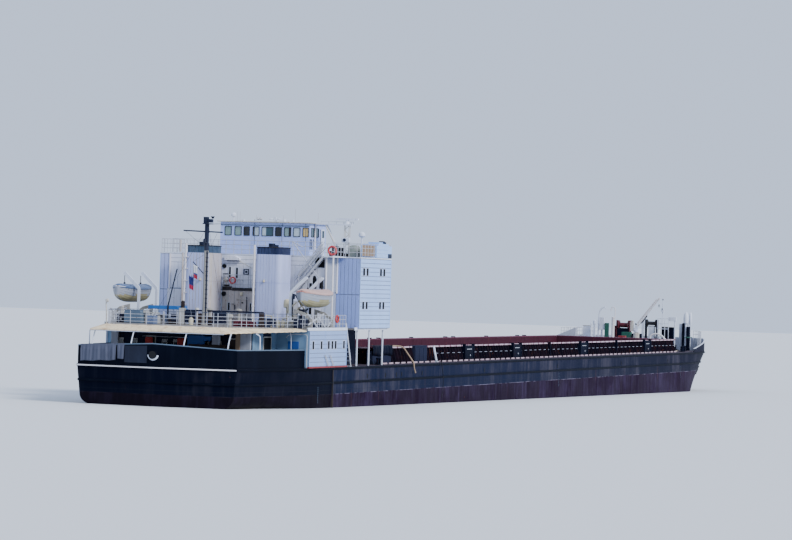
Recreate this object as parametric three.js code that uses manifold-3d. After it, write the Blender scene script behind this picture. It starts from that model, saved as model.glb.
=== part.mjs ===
// River cargo barge with engines aft and one long open hold, as a 1:10 scale model.
// Millimetres: x runs from the stern (0) to the stem, +y is port, z = 0 is the flat bottom.
import * as THREE from "three";
import { mergeVertices } from "three/addons/utils/BufferGeometryUtils.js";
import Module from "manifold-3d";

const wasm = await Module();
wasm.setup();

// Driving dimensions
const length = 13830;
const halfBeam = 825;
const mainDeck = 550;
const boatDeck = 842;
const midDeck = 1110;
const bridgeDeck = 1380;
const wheelhouseTop = 1640;
const seam = 0.5; // open joint left between neighbouring pieces
const strakeProud = 10;
const sternX = 4;
const stemX = length - strakeProud;
const bowStart = 12350;
const transomX = 80;
const transomHalf = 628;
const hold = { aft: 2800, fore: 12250, half: 640, floor: 90 };
const coamingTop = 685;

// Finishes, one per piece of paint or metal
function paint(colour, roughness, metalness) {
  return new THREE.MeshStandardMaterial({ color: colour, roughness: roughness, metalness: metalness });
}

const hullPaint = paint(0x23262e, 0.6, 0.1);
const coamingPaint = paint(0x5a342d, 0.7, 0.1);
const whitePaint = paint(0xd8dade, 0.55, 0.05);
const tanPaint = paint(0xb5a189, 0.65, 0.05);
const navyPaint = paint(0x27304a, 0.55, 0.1);
const orangePaint = paint(0xc9764f, 0.6, 0.05);
const railPaint = paint(0xa9b0ba, 0.5, 0.3);
const redPaint = paint(0x8a2f2a, 0.6, 0.1);
const beigePaint = paint(0xc9bfa5, 0.6, 0.1);
const steelPaint = paint(0x3a3c40, 0.5, 0.5);
const bronze = paint(0x9a7440, 0.35, 0.8);
const mastPaint = paint(0x1a1b1e, 0.5, 0.1);

// Solids: the library only joins and cuts what three.js has shaped
function toSolid(geometry) {
  const source = geometry.clone();
  source.deleteAttribute("normal");
  source.deleteAttribute("uv");
  const merged = mergeVertices(source, 1e-3);
  const corners = merged.index.array;
  const kept = [];
  for (let i = 0; i < corners.length; i += 3) {
    const [a, b, c] = [corners[i], corners[i + 1], corners[i + 2]];
    if (a !== b && b !== c && c !== a) kept.push(a, b, c);
  }
  const vertProperties = new Float32Array(merged.attributes.position.array);
  const triVerts = new Uint32Array(kept);
  return new wasm.Manifold(new wasm.Mesh({ numProp: 3, vertProperties, triVerts }));
}

function toGeometry(solid) {
  const mesh = solid.getMesh();
  const geometry = new THREE.BufferGeometry();
  geometry.setAttribute("position", new THREE.BufferAttribute(mesh.vertProperties.slice(), 3));
  geometry.setIndex(new THREE.BufferAttribute(mesh.triVerts.slice(), 1));
  geometry.computeVertexNormals();
  return geometry;
}

function joinSolids(geometries) {
  return geometries.map(toSolid).reduce((whole, next) => whole.add(next));
}

function fuse(...geometries) {
  return toGeometry(joinSolids(geometries.flat()));
}

function carve(body, ...tools) {
  return toGeometry(toSolid(body).subtract(joinSolids(tools.flat())));
}

// Basic shapes
function block(x0, x1, y0, y1, z0, z1) {
  const geometry = new THREE.BoxGeometry(x1 - x0, y1 - y0, z1 - z0);
  return geometry.translate((x0 + x1) / 2, (y0 + y1) / 2, (z0 + z1) / 2);
}

function strut(from, to, radius, sides = 6, endRadius = radius) {
  const start = new THREE.Vector3(...from);
  const along = new THREE.Vector3(...to).sub(start);
  const geometry = new THREE.CylinderGeometry(endRadius, radius, along.length(), sides);
  geometry.translate(0, along.length() / 2, 0);
  const turn = new THREE.Quaternion().setFromUnitVectors(new THREE.Vector3(0, 1, 0), along.normalize());
  return geometry.applyQuaternion(turn).translate(start.x, start.y, start.z);
}

function sheetFrom(points, thickness, across) {
  const shape = new THREE.Shape(points.map(([a, b]) => new THREE.Vector2(a, b)));
  const geometry = new THREE.ExtrudeGeometry(shape, { depth: thickness, bevelEnabled: false });
  return geometry.applyMatrix4(across);
}

function slab(points, z0, z1) {
  return sheetFrom(points, z1 - z0, new THREE.Matrix4().makeTranslation(0, 0, z0));
}

function plateAcross(points, x0, x1) {
  const axes = [new THREE.Vector3(0, 1, 0), new THREE.Vector3(0, 0, 1), new THREE.Vector3(1, 0, 0)];
  return sheetFrom(points, x1 - x0, new THREE.Matrix4().makeBasis(...axes).setPosition(x0, 0, 0));
}

function plateAlong(points, y0, y1) {
  const axes = [new THREE.Vector3(1, 0, 0), new THREE.Vector3(0, 0, 1), new THREE.Vector3(0, -1, 0)];
  return sheetFrom(points, y1 - y0, new THREE.Matrix4().makeBasis(...axes).setPosition(0, y1, 0));
}

// A closed skin through a row of rings, each an array of [x, y, z] with one length
function loft(rings) {
  const count = rings[0].length;
  const last = (rings.length - 1) * count;
  const index = [];
  for (let ring = 0; ring < last; ring += count) {
    for (let j = 0; j < count; j += 1) {
      const [a, b] = [ring + j, ring + ((j + 1) % count)];
      index.push(a, b, b + count, a, b + count, a + count);
    }
  }
  for (let j = 1; j < count - 1; j += 1) {
    index.push(0, j + 1, j, last, last + j, last + j + 1);
  }
  const points = rings.flat();
  let volume = 0;
  for (let i = 0; i < index.length; i += 3) {
    const [a, b, c] = [0, 1, 2].map((k) => new THREE.Vector3(...points[index[i + k]]));
    volume += a.dot(b.cross(c));
  }
  if (volume < 0) index.reverse();
  const geometry = new THREE.BufferGeometry();
  geometry.setAttribute("position", new THREE.Float32BufferAttribute(points.flat(), 3));
  geometry.setIndex(index);
  return geometry;
}

// A wall along a path of [x, y, top], thickened to the left of its direction
function wallAlong(path, bottom, thickness) {
  const rings = path.map(([x, y, top], i) => {
    const before = path[Math.max(i - 1, 0)];
    const after = path[Math.min(i + 1, path.length - 1)];
    const run = Math.hypot(after[0] - before[0], after[1] - before[1]);
    const inX = x - ((after[1] - before[1]) / run) * thickness;
    const inY = y + ((after[0] - before[0]) / run) * thickness;
    return [[x, y, bottom], [x, y, top], [inX, inY, top], [inX, inY, bottom]];
  });
  return loft(rings);
}

// A rail of posts and bars over a path of [x, y], standing at one height
function railing(path, base, { height = 105, spacing = 110, bars = [1, 0.5], post = 3 } = {}) {
  const pieces = [];
  for (let i = 0; i < path.length - 1; i += 1) {
    const [ax, ay] = path[i];
    const [bx, by] = path[i + 1];
    const bays = Math.max(1, Math.round(Math.hypot(bx - ax, by - ay) / spacing));
    for (const share of bars) {
      const z = base + height * share;
      pieces.push(strut([ax, ay, z], [bx, by, z], post, 4));
    }
    for (let k = i === 0 ? 0 : 1; k <= bays; k += 1) {
      const [x, y] = [ax + ((bx - ax) * k) / bays, ay + ((by - ay) * k) / bays];
      pieces.push(block(x - post, x + post, y - post, y + post, base, base + height));
    }
  }
  return pieces;
}

const ship = new THREE.Group();
ship.position.x = -length / 2;

function addPiece(name, geometry, material, place = [0, 0, 0]) {
  const mesh = new THREE.Mesh(geometry, material);
  mesh.name = name;
  mesh.position.set(...place);
  ship.add(mesh);
  return mesh;
}

const sides = [{ side: "port", sign: 1 }, { side: "starboard", sign: -1 }];

function spanY(sign, inner, outer) {
  return sign > 0 ? [inner, outer] : [-outer, -inner];
}

// Hull lines: how far the bow and the stern have closed in at x
function bowShare(x) {
  return THREE.MathUtils.clamp((x - bowStart) / (stemX - bowStart), 0, 1);
}

function sternShare(x) {
  return THREE.MathUtils.clamp((2000 - x) / 1500, 0, 1);
}

function deckHalf(x) {
  if (x < transomX) return THREE.MathUtils.lerp(15, transomHalf, x / transomX);
  if (x < 1500) {
    const share = Math.sin((Math.PI / 2) * ((x - transomX) / (1500 - transomX)));
    return transomHalf + (halfBeam - transomHalf) * share;
  }
  return Math.max(10, halfBeam * Math.sqrt(1 - bowShare(x) ** 3.7));
}

function hullFrame(x) {
  const bow = bowShare(x);
  const stern = sternShare(x);
  const deck = deckHalf(x);
  const side = deck * (1 - 0.42 * bow - 0.04 * stern);
  const bilge = 80 * (1 - bow) * (1 - stern);
  const flat = Math.max(3, side * (1 - 0.55 * bow ** 2 - 0.15 * stern) - bilge);
  const keel = 260 * stern ** 2 * (3 - 2 * stern) + 380 * bow ** 6;
  return { deck, side, flat, keel, turn: keel + 80 + 20 * bow };
}

function hullHalf(x, z) {
  const { deck, side, turn } = hullFrame(x);
  return side + ((deck - side) * (z - turn)) / (mainDeck - turn);
}

const sternStations = [sternX, transomX, 300, 500, 800, 1100, 1400, 1700, 2000];
const bowShares = [0, 0.15, 0.3, 0.45, 0.58, 0.7, 0.8, 0.88, 0.94, 0.98, 1];
const bowStations = bowShares.map((share) => bowStart + share * (stemX - bowStart));
const stations = [...sternStations, ...bowStations];

function hullRing(x) {
  const { deck, side, flat, keel, turn } = hullFrame(x);
  const round = (side - flat) * 0.7;
  const half = [[deck, mainDeck], [side, turn], [flat + round, keel + (turn - keel) * 0.25], [flat, keel]];
  const mirrored = half.map(([y, z]) => [-y, z]).reverse();
  return [...half, ...mirrored].map(([y, z]) => [x, y, z]);
}

function strakeRing(x, low, high) {
  const at = { [sternX]: 0, [stemX]: length }[x] ?? x;
  const [top, bottom] = [hullHalf(x, high) + strakeProud, hullHalf(x, low) + strakeProud];
  return [[at, top, high], [at, bottom, low], [at, -bottom, low], [at, -top, high]];
}

const propeller = { x: 620, y: 330, z: 115, radius: 87 };

function bollardPair(x, y) {
  const posts = [-30, 30].map((shift) => strut([x + shift, y, mainDeck - 5], [x + shift, y, mainDeck + 55], 12, 8));
  return [block(x - 50, x + 50, y - 18, y + 18, mainDeck - 5, mainDeck + 8), ...posts];
}

const bollards = [[300, 480], [2740, 745], [12480, 700], [12950, 600], [13350, 390]];
const fenders = [1347, 1496];

function buildHull() {
  const parts = [loft(stations.map(hullRing))];
  for (const [low, high] of [[533, 549], [427, 443]]) {
    parts.push(loft(stations.map((x) => strakeRing(x, low, high))));
  }
  for (const { sign } of sides) {
    const y = sign * propeller.y;
    parts.push(strut([propeller.x + 26, y, propeller.z], [1400, y, propeller.z + 10], 13, 12));
    parts.push(block(745, 775, y - 5, y + 5, propeller.z, 252));
    for (const x of fenders) parts.push(block(x - 6, x + 6, ...spanY(sign, halfBeam - 20, halfBeam + 14), 230, 545));
    for (const [x, away] of bollards) parts.push(...bollardPair(x, sign * away));
  }
  parts.push(block(3953, 3997, -799.5, -785, mainDeck - 5, mainDeck + 22));
  const well = block(hold.aft, hold.fore, -hold.half, hold.half, hold.floor, mainDeck + 50);
  return carve(fuse(parts), well);
}

// Hold coaming: a standing frame with a rolled top and a row of outside stays
const coamingWall = 12;
const stayPitch = 240;
const panelPlaces = [5170, 6550, 8715, 11065];
const panelLength = 245;
const sideLockers = [[2712, 3164, 699], [3725, 4022, 692]]; // from, to and top of the starboard deck lockers

function buildCoaming() {
  const [x0, x1, half] = [hold.aft, hold.fore, hold.half];
  const base = mainDeck + seam;
  const outer = [x0 - coamingWall, x1 + coamingWall, -half - coamingWall, half + coamingWall];
  const lip = [x0 - 34, x1 + 34, -half - 34, half + 34];
  const inside = block(x0, x1, -half, half, base - 5, coamingTop + 5);
  const parts = [block(...outer, base, coamingTop), block(...lip, coamingTop - 10, coamingTop)];
  const stay = [[half + 5, base], [half + 62, base], [half + 32, coamingTop - 5], [half + 5, coamingTop - 5]];
  for (let x = x0 + 60; x < x1; x += stayPitch) {
    for (const { sign } of sides) {
      parts.push(plateAcross(stay.map(([y, z]) => [sign * y, z]), x - 4, x + 4));
    }
  }
  for (const x of panelPlaces) {
    for (const { sign } of sides) {
      parts.push(block(x - panelLength / 2, x + panelLength / 2, ...spanY(sign, half + 5, half + 56), base, coamingTop - 5));
    }
  }
  for (const [from, to, top] of sideLockers) parts.push(block(from, to, -half - 62, -half - 5, base, top));
  const clampAt = [3173, 3186.5];
  parts.push(block(...clampAt, -half - 58, -half - 20, coamingTop - 6, coamingTop + 16));
  return carve(fuse(parts), inside);
}

// Stern bulwark with the stanchions that lean in to carry the awning edge
const bulwarkEnd = 988;
const awningPosts = [510, 185, -226, -552];
const sidePostX = 385;

function sternPath() {
  const xs = [bulwarkEnd, 850, 700, 500, 300, transomX + 4];
  const starboard = xs.map((x) => [x, -deckHalf(x) + 4, 683]);
  const port = xs.map((x) => [x, deckHalf(x) - 4, 683]);
  return [...port, [4, 0, 712], ...starboard.reverse()];
}

function buildSternBulwark() {
  const wall = wallAlong(sternPath(), mainDeck + seam, 9);
  const ring = new THREE.TorusGeometry(30, 9, 8, 20).rotateY(Math.PI / 2).translate(8, 0, 630);
  const parts = [wall, ring];
  for (const y of awningPosts) {
    const footX = 9 + (transomX * Math.abs(y)) / transomHalf;
    parts.push(strut([footX, y, 650], [footX + 50, y, 795], 5, 6));
  }
  for (const { sign } of sides) {
    const edge = deckHalf(sidePostX) - 8;
    parts.push(strut([sidePostX, sign * edge, 650], [sidePostX, sign * (edge - 36), 802], 5, 6));
  }
  return fuse(parts);
}

function bowPath() {
  const places = [12520, 12700, 12900, 13100, 13340, 13500, 13620, 13730, 13795];
  const heightAt = (x) => mainDeck + THREE.MathUtils.mapLinear(Math.min(x, 13340), 12520, 13340, 36, 136);
  const starboard = places.map((x) => [x, -deckHalf(x) + 3, heightAt(x)]);
  const port = places.map((x) => [x, deckHalf(x) - 3, heightAt(x)]).reverse();
  return [...starboard, ...port];
}

function buildBowBulwark() {
  const cap = bowPath().map(([x, y, top]) => [x, y, top + 4]);
  return fuse(wallAlong(bowPath(), mainDeck + seam, 9), wallAlong(cap, mainDeck + 30, 5));
}

// Deckhouse tiers
const houseAft = 520;
const houseFore = 2690;
const houseHalf = 560;
const sideHouse = { aft: 997, fore: 1785, inner: 561, outer: 820 };
const funnel = { aft: 1460, long: 240, inner: 180, outer: 392, top: 1445 };
const tower = { aft: 2010, fore: 2700, inner: 665, outer: 835 };
const stairWell = { aft: 1792, fore: 1950, inner: 735 };

const awningOutline = [[70, 0], [70, 530], [350, 610], [660, 715], [960, 812]];
const awningRise = (x) => THREE.MathUtils.mapLinear(x, 70, 960, 0, 22);
const deckOutline = [[165, 0], [165, 445], [420, 570], [690, 668], [960, 735]];

function bothSides(points) {
  const port = points.slice(1);
  const starboard = port.map(([x, y]) => [x, -y]).reverse();
  return [...starboard, ...port];
}

function buildBoatDeck() {
  const edge = bothSides(awningOutline);
  const inner = bothSides(deckOutline);
  const skirt = edge.map(([x, y], i) => {
    const [inX, inY] = inner[i];
    const low = 799 + awningRise(x);
    return [[x, y, low], [x, y, low + 8], [inX + 4, inY * 0.98, boatDeck], [inX + 4, inY * 0.98, boatDeck - 10]];
  });
  const flat = [...inner, [houseFore, 735], [houseFore, -735]];
  const broad = block(955, tower.fore, -822, 822, boatDeck - 12, boatDeck);
  const posts = [];
  for (const x of [2060, 2330, 2640]) {
    for (const { sign } of sides) posts.push(block(x - 8, x + 8, ...spanY(sign, 796, 812), mainDeck + seam, boatDeck - 5));
  }
  const wells = sides.map(({ sign }) => block(stairWell.aft, stairWell.fore, ...spanY(sign, stairWell.inner, 830), 800, 900));
  return carve(fuse(slab(flat, boatDeck - 12, boatDeck), loft(skirt), broad, posts), wells);
}

function buildBoatDeckRail(sign) {
  const path = [[185, 5], [185, 425], [430, 548], [700, 648], [985, 718]];
  return fuse(railing(path.map(([x, y]) => [x, sign * y]), boatDeck + seam, { spacing: 180 }));
}

function buildTierTwo() {
  return block(1705, houseFore, -640, 640, boatDeck + seam, midDeck);
}

function buildTierThree() {
  const body = block(1762, houseFore, -640, 640, midDeck + seam, bridgeDeck);
  const edge = [[-640, bridgeDeck + 5], [-640, bridgeDeck - 60], [-560, bridgeDeck + 5]];
  return carve(body, plateAcross(edge, 1700, 1800));
}

function buildTower(sign) {
  const [y0, y1] = spanY(sign, tower.inner, tower.outer);
  return block(tower.aft, tower.fore, y0, y1, boatDeck + seam, bridgeDeck);
}

const bridgeSlab = 9;
const bridgeTop = bridgeDeck + seam + bridgeSlab;

function buildBridgeDeck() {
  const z0 = bridgeDeck + seam;
  return fuse(
    block(1765, houseFore + 25, -645, 645, z0, bridgeTop),
    block(tower.aft - 6, tower.fore + 6, -840, 840, z0, bridgeTop),
    block(1706, 1770, -715, -646, z0, bridgeTop),
    block(1760, tower.aft, -715, -600, z0, bridgeTop),
  );
}

function buildBridgeRail() {
  const path = [
    [1772, -600], [1772, 636], [2012, 640], [2012, 830], [2698, 830],
    [2706, 640], [2706, -640], [2698, -830], [2012, -830], [2012, -708], [1712, -708],
  ];
  return fuse(railing(path, bridgeTop + seam, { spacing: 210 }));
}

// Wheelhouse: hollow, glazed openings all round and a sliding door each side
const wheelhouse = { aft: 2100, fore: 2450, half: 375, wall: 6 };
const windowBand = { low: 1535, high: 1608 };
const doorway = { aft: 2330, fore: 2396, top: 1598 };
const aftWindows = [
  { y: 309, half: 30 }, { y: 225, half: 30 }, { y: 153, half: 26 }, { y: 74, half: 29 }, { y: -22, half: 50 },
  { y: -113, half: 27 }, { y: -190, half: 30 }, { y: -266, half: 30 }, { y: -341, half: 26 },
];

function buildWheelhouse() {
  const { aft, fore, half, wall } = wheelhouse;
  const base = bridgeTop + seam;
  const shell = block(aft, fore, -half, half, base, wheelhouseTop);
  const cuts = [block(aft + wall, fore - wall, -half + wall, half - wall, base - 5, wheelhouseTop + 5)];
  for (const { y, half: reach } of aftWindows) {
    cuts.push(block(aft - 5, aft + wall + 5, y - reach, y + reach, windowBand.low, windowBand.high));
  }
  for (let y = -320; y <= 320; y += 80) {
    cuts.push(block(fore - wall - 5, fore + 5, y - 34, y + 34, windowBand.low - 15, windowBand.high));
  }
  for (const { sign } of sides) {
    const through = spanY(sign, half - wall - 5, half + 5);
    for (const x of [2124, 2222]) cuts.push(block(x, x + 72, ...through, windowBand.low, windowBand.high));
    cuts.push(block(doorway.aft, doorway.fore, ...through, base + 8, doorway.top));
  }
  return carve(shell, cuts);
}

function buildWheelhouseRoof() {
  const { aft, fore, half } = wheelhouse;
  const z0 = wheelhouseTop + seam;
  return fuse(
    block(aft - 18, fore + 30, -half - 20, half + 20, z0, z0 + 10),
    strut([2180, 300, z0 + 5], [2180, 300, z0 + 45], 9, 8),
    new THREE.SphereGeometry(22, 12, 8).translate(2180, 300, z0 + 52),
    block(2300, 2320, -60, 60, z0 + 5, z0 + 60),
    strut([2360, -150, z0 + 5], [2360, -150, z0 + 120], 4, 6),
  );
}

function buildSlidingDoor(sign) {
  const [y0, y1] = spanY(sign, wheelhouse.half + 5, wheelhouse.half + 10);
  const low = bridgeTop + 6;
  const leaf = block(doorway.aft - 4, doorway.fore + 4, y0, y1, low, doorway.top + 4);
  const pane = block(doorway.aft + 12, doorway.fore - 12, y0 - 5, y1 + 5, windowBand.low, windowBand.high - 18);
  const handle = spanY(sign, wheelhouse.half + 8, wheelhouse.half + 14);
  return fuse(carve(leaf, pane), block(doorway.aft + 1, doorway.aft + 4, ...handle, 1485, 1505));
}

// Funnels stand on the boat deck behind the upper tiers
function roundedRectangle(x0, x1, y0, y1, radius) {
  const shape = new THREE.Shape();
  shape.moveTo(x0 + radius, y0);
  shape.lineTo(x1 - radius, y0);
  shape.absarc(x1 - radius, y0 + radius, radius, -Math.PI / 2, 0);
  shape.absarc(x1 - radius, y1 - radius, radius, 0, Math.PI / 2);
  shape.absarc(x0 + radius, y1 - radius, radius, Math.PI / 2, Math.PI);
  shape.absarc(x0 + radius, y0 + radius, radius, Math.PI, 1.5 * Math.PI);
  return shape;
}

function buildFunnel(sign) {
  const [y0, y1] = spanY(sign, funnel.inner, funnel.outer);
  const shape = roundedRectangle(funnel.aft, funnel.aft + funnel.long, y0, y1, 34);
  const casing = new THREE.ExtrudeGeometry(shape, {
    depth: funnel.top - boatDeck - seam, bevelEnabled: false, curveSegments: 4,
  }).translate(0, 0, boatDeck + seam);
  const middle = (y0 + y1) / 2;
  const pipeTop = y1 + (sign > 0 ? -6 : 2);
  const pipeFoot = y1 + (sign > 0 ? 8 : 4);
  const clips = [900, 1160, 1400].map((z) => {
    const beside = THREE.MathUtils.mapLinear(z, boatDeck + 20, funnel.top + 12, pipeFoot, pipeTop);
    return block(funnel.aft - 3, funnel.aft + 38, y1 - 10, beside + 3, z, z + 8);
  });
  return fuse(
    casing,
    clips,
    strut([funnel.aft + 80, middle, funnel.top - 5], [funnel.aft + 80, middle, funnel.top + 28], 26, 12),
    strut([funnel.aft + 165, middle, funnel.top - 5], [funnel.aft + 165, middle, funnel.top + 18], 20, 12),
    strut([funnel.aft - 1, pipeFoot, boatDeck + 20], [funnel.aft - 1, pipeTop, funnel.top + 12], 8, 8),
  );
}

// Aft mast a little to port, with yard, gaff and lamp box
const mastX = 970;
const mastY = 12;

function buildAftMast() {
  return fuse(
    strut([mastX, mastY, boatDeck + seam], [mastX, mastY, 1400], 20, 12, 17),
    strut([mastX, mastY, 1395], [mastX, mastY, 1600], 17, 12),
    strut([mastX, 201, 1547], [mastX, -112, 1539], 5.5, 6),
    strut([mastX, mastY + 5, 1215], [mastX - 30, 105, 1315], 4, 6),
    block(mastX - 28, mastX + 28, mastY - 40, mastY + 28, 1596, 1640),
    block(mastX - 55, mastX - 10, mastY - 16, mastY + 16, 1455, 1495),
  );
}

// Lifeboats hang level from turning-out arms over sloping skids
const boat = { x: 1280, half: 285, beam: 92, y: 745, gunwale: 1100, keel: 1000 };
const davit = { pivotY: 620, pivotZ: 895, tipZ: 1215, spots: [-165, 165] };
const boatSections = [[-1, 0.06], [-0.88, 0.5], [-0.62, 0.86], [-0.2, 1], [0.25, 1], [0.62, 0.84], [0.88, 0.46], [1, 0.05]];

function lifeboatRing([along, width]) {
  const half = boat.beam * width;
  const sheer = boat.gunwale + 16 * along ** 2;
  const keel = boat.keel + 45 * Math.abs(along) ** 4;
  const cover = sheer + 12 + 30 * width;
  const port = [[0, keel], [half * 0.72, keel + (sheer - keel) * 0.35], [half, sheer], [half * 0.9, sheer + 10], [half * 0.45, cover]];
  const starboard = port.slice(1).map(([y, z]) => [-y, z]).reverse();
  return [...port, ...starboard].map(([y, z]) => [boat.half * along, y, z - davit.tipZ]);
}

function buildLifeboat() {
  const parts = [loft(boatSections.map(lifeboatRing))];
  for (const spot of davit.spots) {
    parts.push(strut([spot * 0.9, 0, boat.gunwale - davit.tipZ], [spot * 0.9, 0, -8], 4, 6));
  }
  return fuse(parts);
}

function buildDavitArms(sign) {
  const tip = boat.y - davit.pivotY;
  const rise = davit.tipZ - davit.pivotZ;
  const inboard = [[-8, -6], [-12, rise * 0.3], [-14, rise * 0.62], [-8, rise * 0.69], [tip - 17, rise + 12]];
  const outboard = [[tip, rise + 8], [tip + 5, rise - 2], [5, rise * 0.63], [6, rise * 0.3], [8, -6]];
  const outline = [...inboard, ...outboard].map(([y, z]) => [sign * y, z]);
  const arms = davit.spots.map((spot) => plateAcross(outline, spot - 7, spot + 7));
  return fuse(arms, strut([davit.spots[0] - 22, 0, 0], [davit.spots[1] + 22, 0, 0], 5, 8));
}

function buildDavitFrame(sign) {
  const skid = [[665, 842.5], [815, 842.5], [815, 912], [750, 962], [665, 985]].map(([y, z]) => [sign * y, z]);
  const opening = [[687, 862], [795, 862], [795, 900], [746, 940], [687, 958]].map(([y, z]) => [sign * y, z]);
  const parts = [];
  for (const shift of [-215, 215]) {
    const x = boat.x + shift;
    parts.push(carve(plateAcross(skid, x - 6, x + 6), plateAcross(opening, x - 9, x + 9)));
  }
  parts.push(block(boat.x - 245, boat.x + 245, ...spanY(sign, 605, 680), boatDeck + seam, 852));
  for (const spot of davit.spots) {
    for (const cheek of [-16, 16]) {
      const x = boat.x + spot + cheek;
      parts.push(block(x - 4, x + 4, ...spanY(sign, 610, 630), 848, davit.pivotZ - 5.5));
    }
  }
  parts.push(block(boat.x - 30, boat.x + 30, ...spanY(sign, 629, 665), 848, 905));
  return fuse(parts);
}

// Stairs: two stringers and a flight of treads from one point to another
function flight(foot, top, width, steps) {
  const across = new THREE.Vector3(top[1] - foot[1], foot[0] - top[0], 0).normalize().multiplyScalar(width / 2);
  const parts = [];
  for (const edge of [-1, 1]) {
    const shift = [across.x * edge, across.y * edge, 0];
    parts.push(strut(foot.map((v, i) => v + shift[i]), top.map((v, i) => v + shift[i]), 5, 4));
  }
  for (let k = 1; k < steps; k += 1) {
    const [x, y, z] = foot.map((v, i) => v + ((top[i] - v) * k) / steps);
    parts.push(strut([x - across.x, y - across.y, z], [x + across.x, y + across.y, z], 5, 4));
  }
  return parts;
}

function buildBridgeStair() {
  const parts = flight([1733, -430, midDeck + 6], [1733, -634, bridgeTop - 4], 42, 9);
  const hand = flight([1733, -410, midDeck + 96], [1733, -619, bridgeTop + 90], 42, 1);
  const posts = [-1, 1].map((edge) => strut([1733 + 21 * edge, -445, midDeck + 20], [1733 + 21 * edge, -445, midDeck + 146], 3, 4));
  return fuse(parts, hand, posts, block(1712, 1754, -445, -420, midDeck + seam, midDeck + 10));
}

function buildDeckLadder(sign) {
  const y = sign * 778;
  const parts = flight([1925, y, mainDeck + 6], [1806, y, boatDeck - 2], 60, 8);
  return fuse(parts, block(1915, 1937, y - 33, y + 33, mainDeck + seam, mainDeck + 8));
}

// Radar scanner on a bracket off the starboard side of the wheelhouse roof
const radar = { x: 2200, y: -645, deck: 1636 };

function buildRadarPlatform() {
  const { x, y, deck } = radar;
  return fuse(
    block(x - 26, x + 26, -690, -398, deck, deck + 8),
    strut([x - 14, -470, deck + 3], [x - 14, -602, bridgeTop + 4], 6.5, 8),
    strut([x + 14, -470, deck + 3], [x + 14, -602, bridgeTop + 4], 6.5, 8),
    strut([x, y, deck + 4], [x, y, deck + 30], 26, 12, 18),
  );
}

function buildRadarScanner() {
  return fuse(block(-12, 12, -92, 92, 8, 22), strut([0, 0, 0], [0, 0, 12], 12, 12));
}

// A hose out of the hold and a rope end, both hanging over the starboard side
const hose = {
  radius: 6,
  route: [
    [3187, -686, 691], [3199, -686, 691.5], [3210.5, -687.5, 692.5], [3221.5, -691.5, 693],
    [3231.5, -697.5, 693], [3240.5, -705, 693], [3247, -714.5, 692.5], [3256.5, -730, 691.5],
    [3261.5, -739.5, 690], [3266, -748.5, 686.5], [3269.5, -757, 681.5], [3272.5, -765, 674.5],
    [3274, -772, 666.5], [3277.5, -794, 636], [3281.5, -816, 605.5], [3285, -837.5, 574.5],
    [3286, -842, 567], [3287, -845.5, 559], [3288, -847.5, 551], [3289.5, -848, 542], [3292, -848, 531.5],
    [3296, -848.5, 521], [3301.5, -848.5, 511.5], [3308.5, -848.5, 503], [3329, -849, 481],
  ],
};
const rope = {
  radius: 2.5,
  route: [
    [3975, -801, 567], [3977, -812, 568], [3985, -829, 565], [3993, -841, 556], [4002, -843, 540],
    [4024, -843, 500], [4042, -843, 455], [4052, -843, 405], [4053, -843, 360], [4044, -843, 310],
    [4022, -843, 262],
  ],
};

function tubeAlong({ radius, route }) {
  const path = new THREE.CatmullRomCurve3(route.map((point) => new THREE.Vector3(...point)));
  const section = new THREE.Shape().absarc(0, 0, radius, 0, 2 * Math.PI);
  const steps = Math.min(80, Math.ceil(path.getLength() / (5 * radius)));
  return new THREE.ExtrudeGeometry(section, { steps, extrudePath: path, curveSegments: 8, bevelEnabled: false });
}

// Foredeck gear
function buildWindlass() {
  const [x, y, z] = [12560, -40, mainDeck + seam];
  return fuse(
    block(x - 60, x + 60, y - 90, y + 90, z, z + 12),
    block(x - 26, x + 26, y - 20, y + 20, z + 8, z + 66),
    strut([x, y - 105, z + 48], [x, y + 105, z + 48], 14, 12),
    strut([x, y - 80, z + 48], [x, y - 40, z + 48], 36, 14),
    strut([x, y + 40, z + 48], [x, y + 80, z + 48], 36, 14),
    ...[-95, -32, 32, 95].map((shift) => block(x - 20, x + 20, y + shift - 5, y + shift + 5, z + 8, z + 56)),
  );
}

function buildForeHatches() {
  const z = mainDeck + seam;
  return fuse(
    block(12340, 12470, 250, 500, z, z + 60),
    block(12360, 12450, 265, 360, z + 55, z + 110),
    block(12355, 12455, 380, 490, z + 55, z + 75),
  );
}

const crane = { x: 12760, y: -110, slewZ: 742, footZ: 800 };

function buildCranePedestal() {
  const z = mainDeck + seam;
  return fuse(
    block(crane.x - 45, crane.x + 45, crane.y - 45, crane.y + 45, z, z + 14),
    strut([crane.x, crane.y, z + 8], [crane.x, crane.y, crane.slewZ], 24, 14, 20),
  );
}

function buildCraneColumn() {
  return fuse(
    strut([0, 0, 1], [0, 0, 20], 30, 14),
    block(-18, 18, -20, 30, 14, 44),
    block(-18, -12, -14, 14, 40, 72),
    block(12, 18, -14, 14, 40, 72),
  );
}

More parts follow.
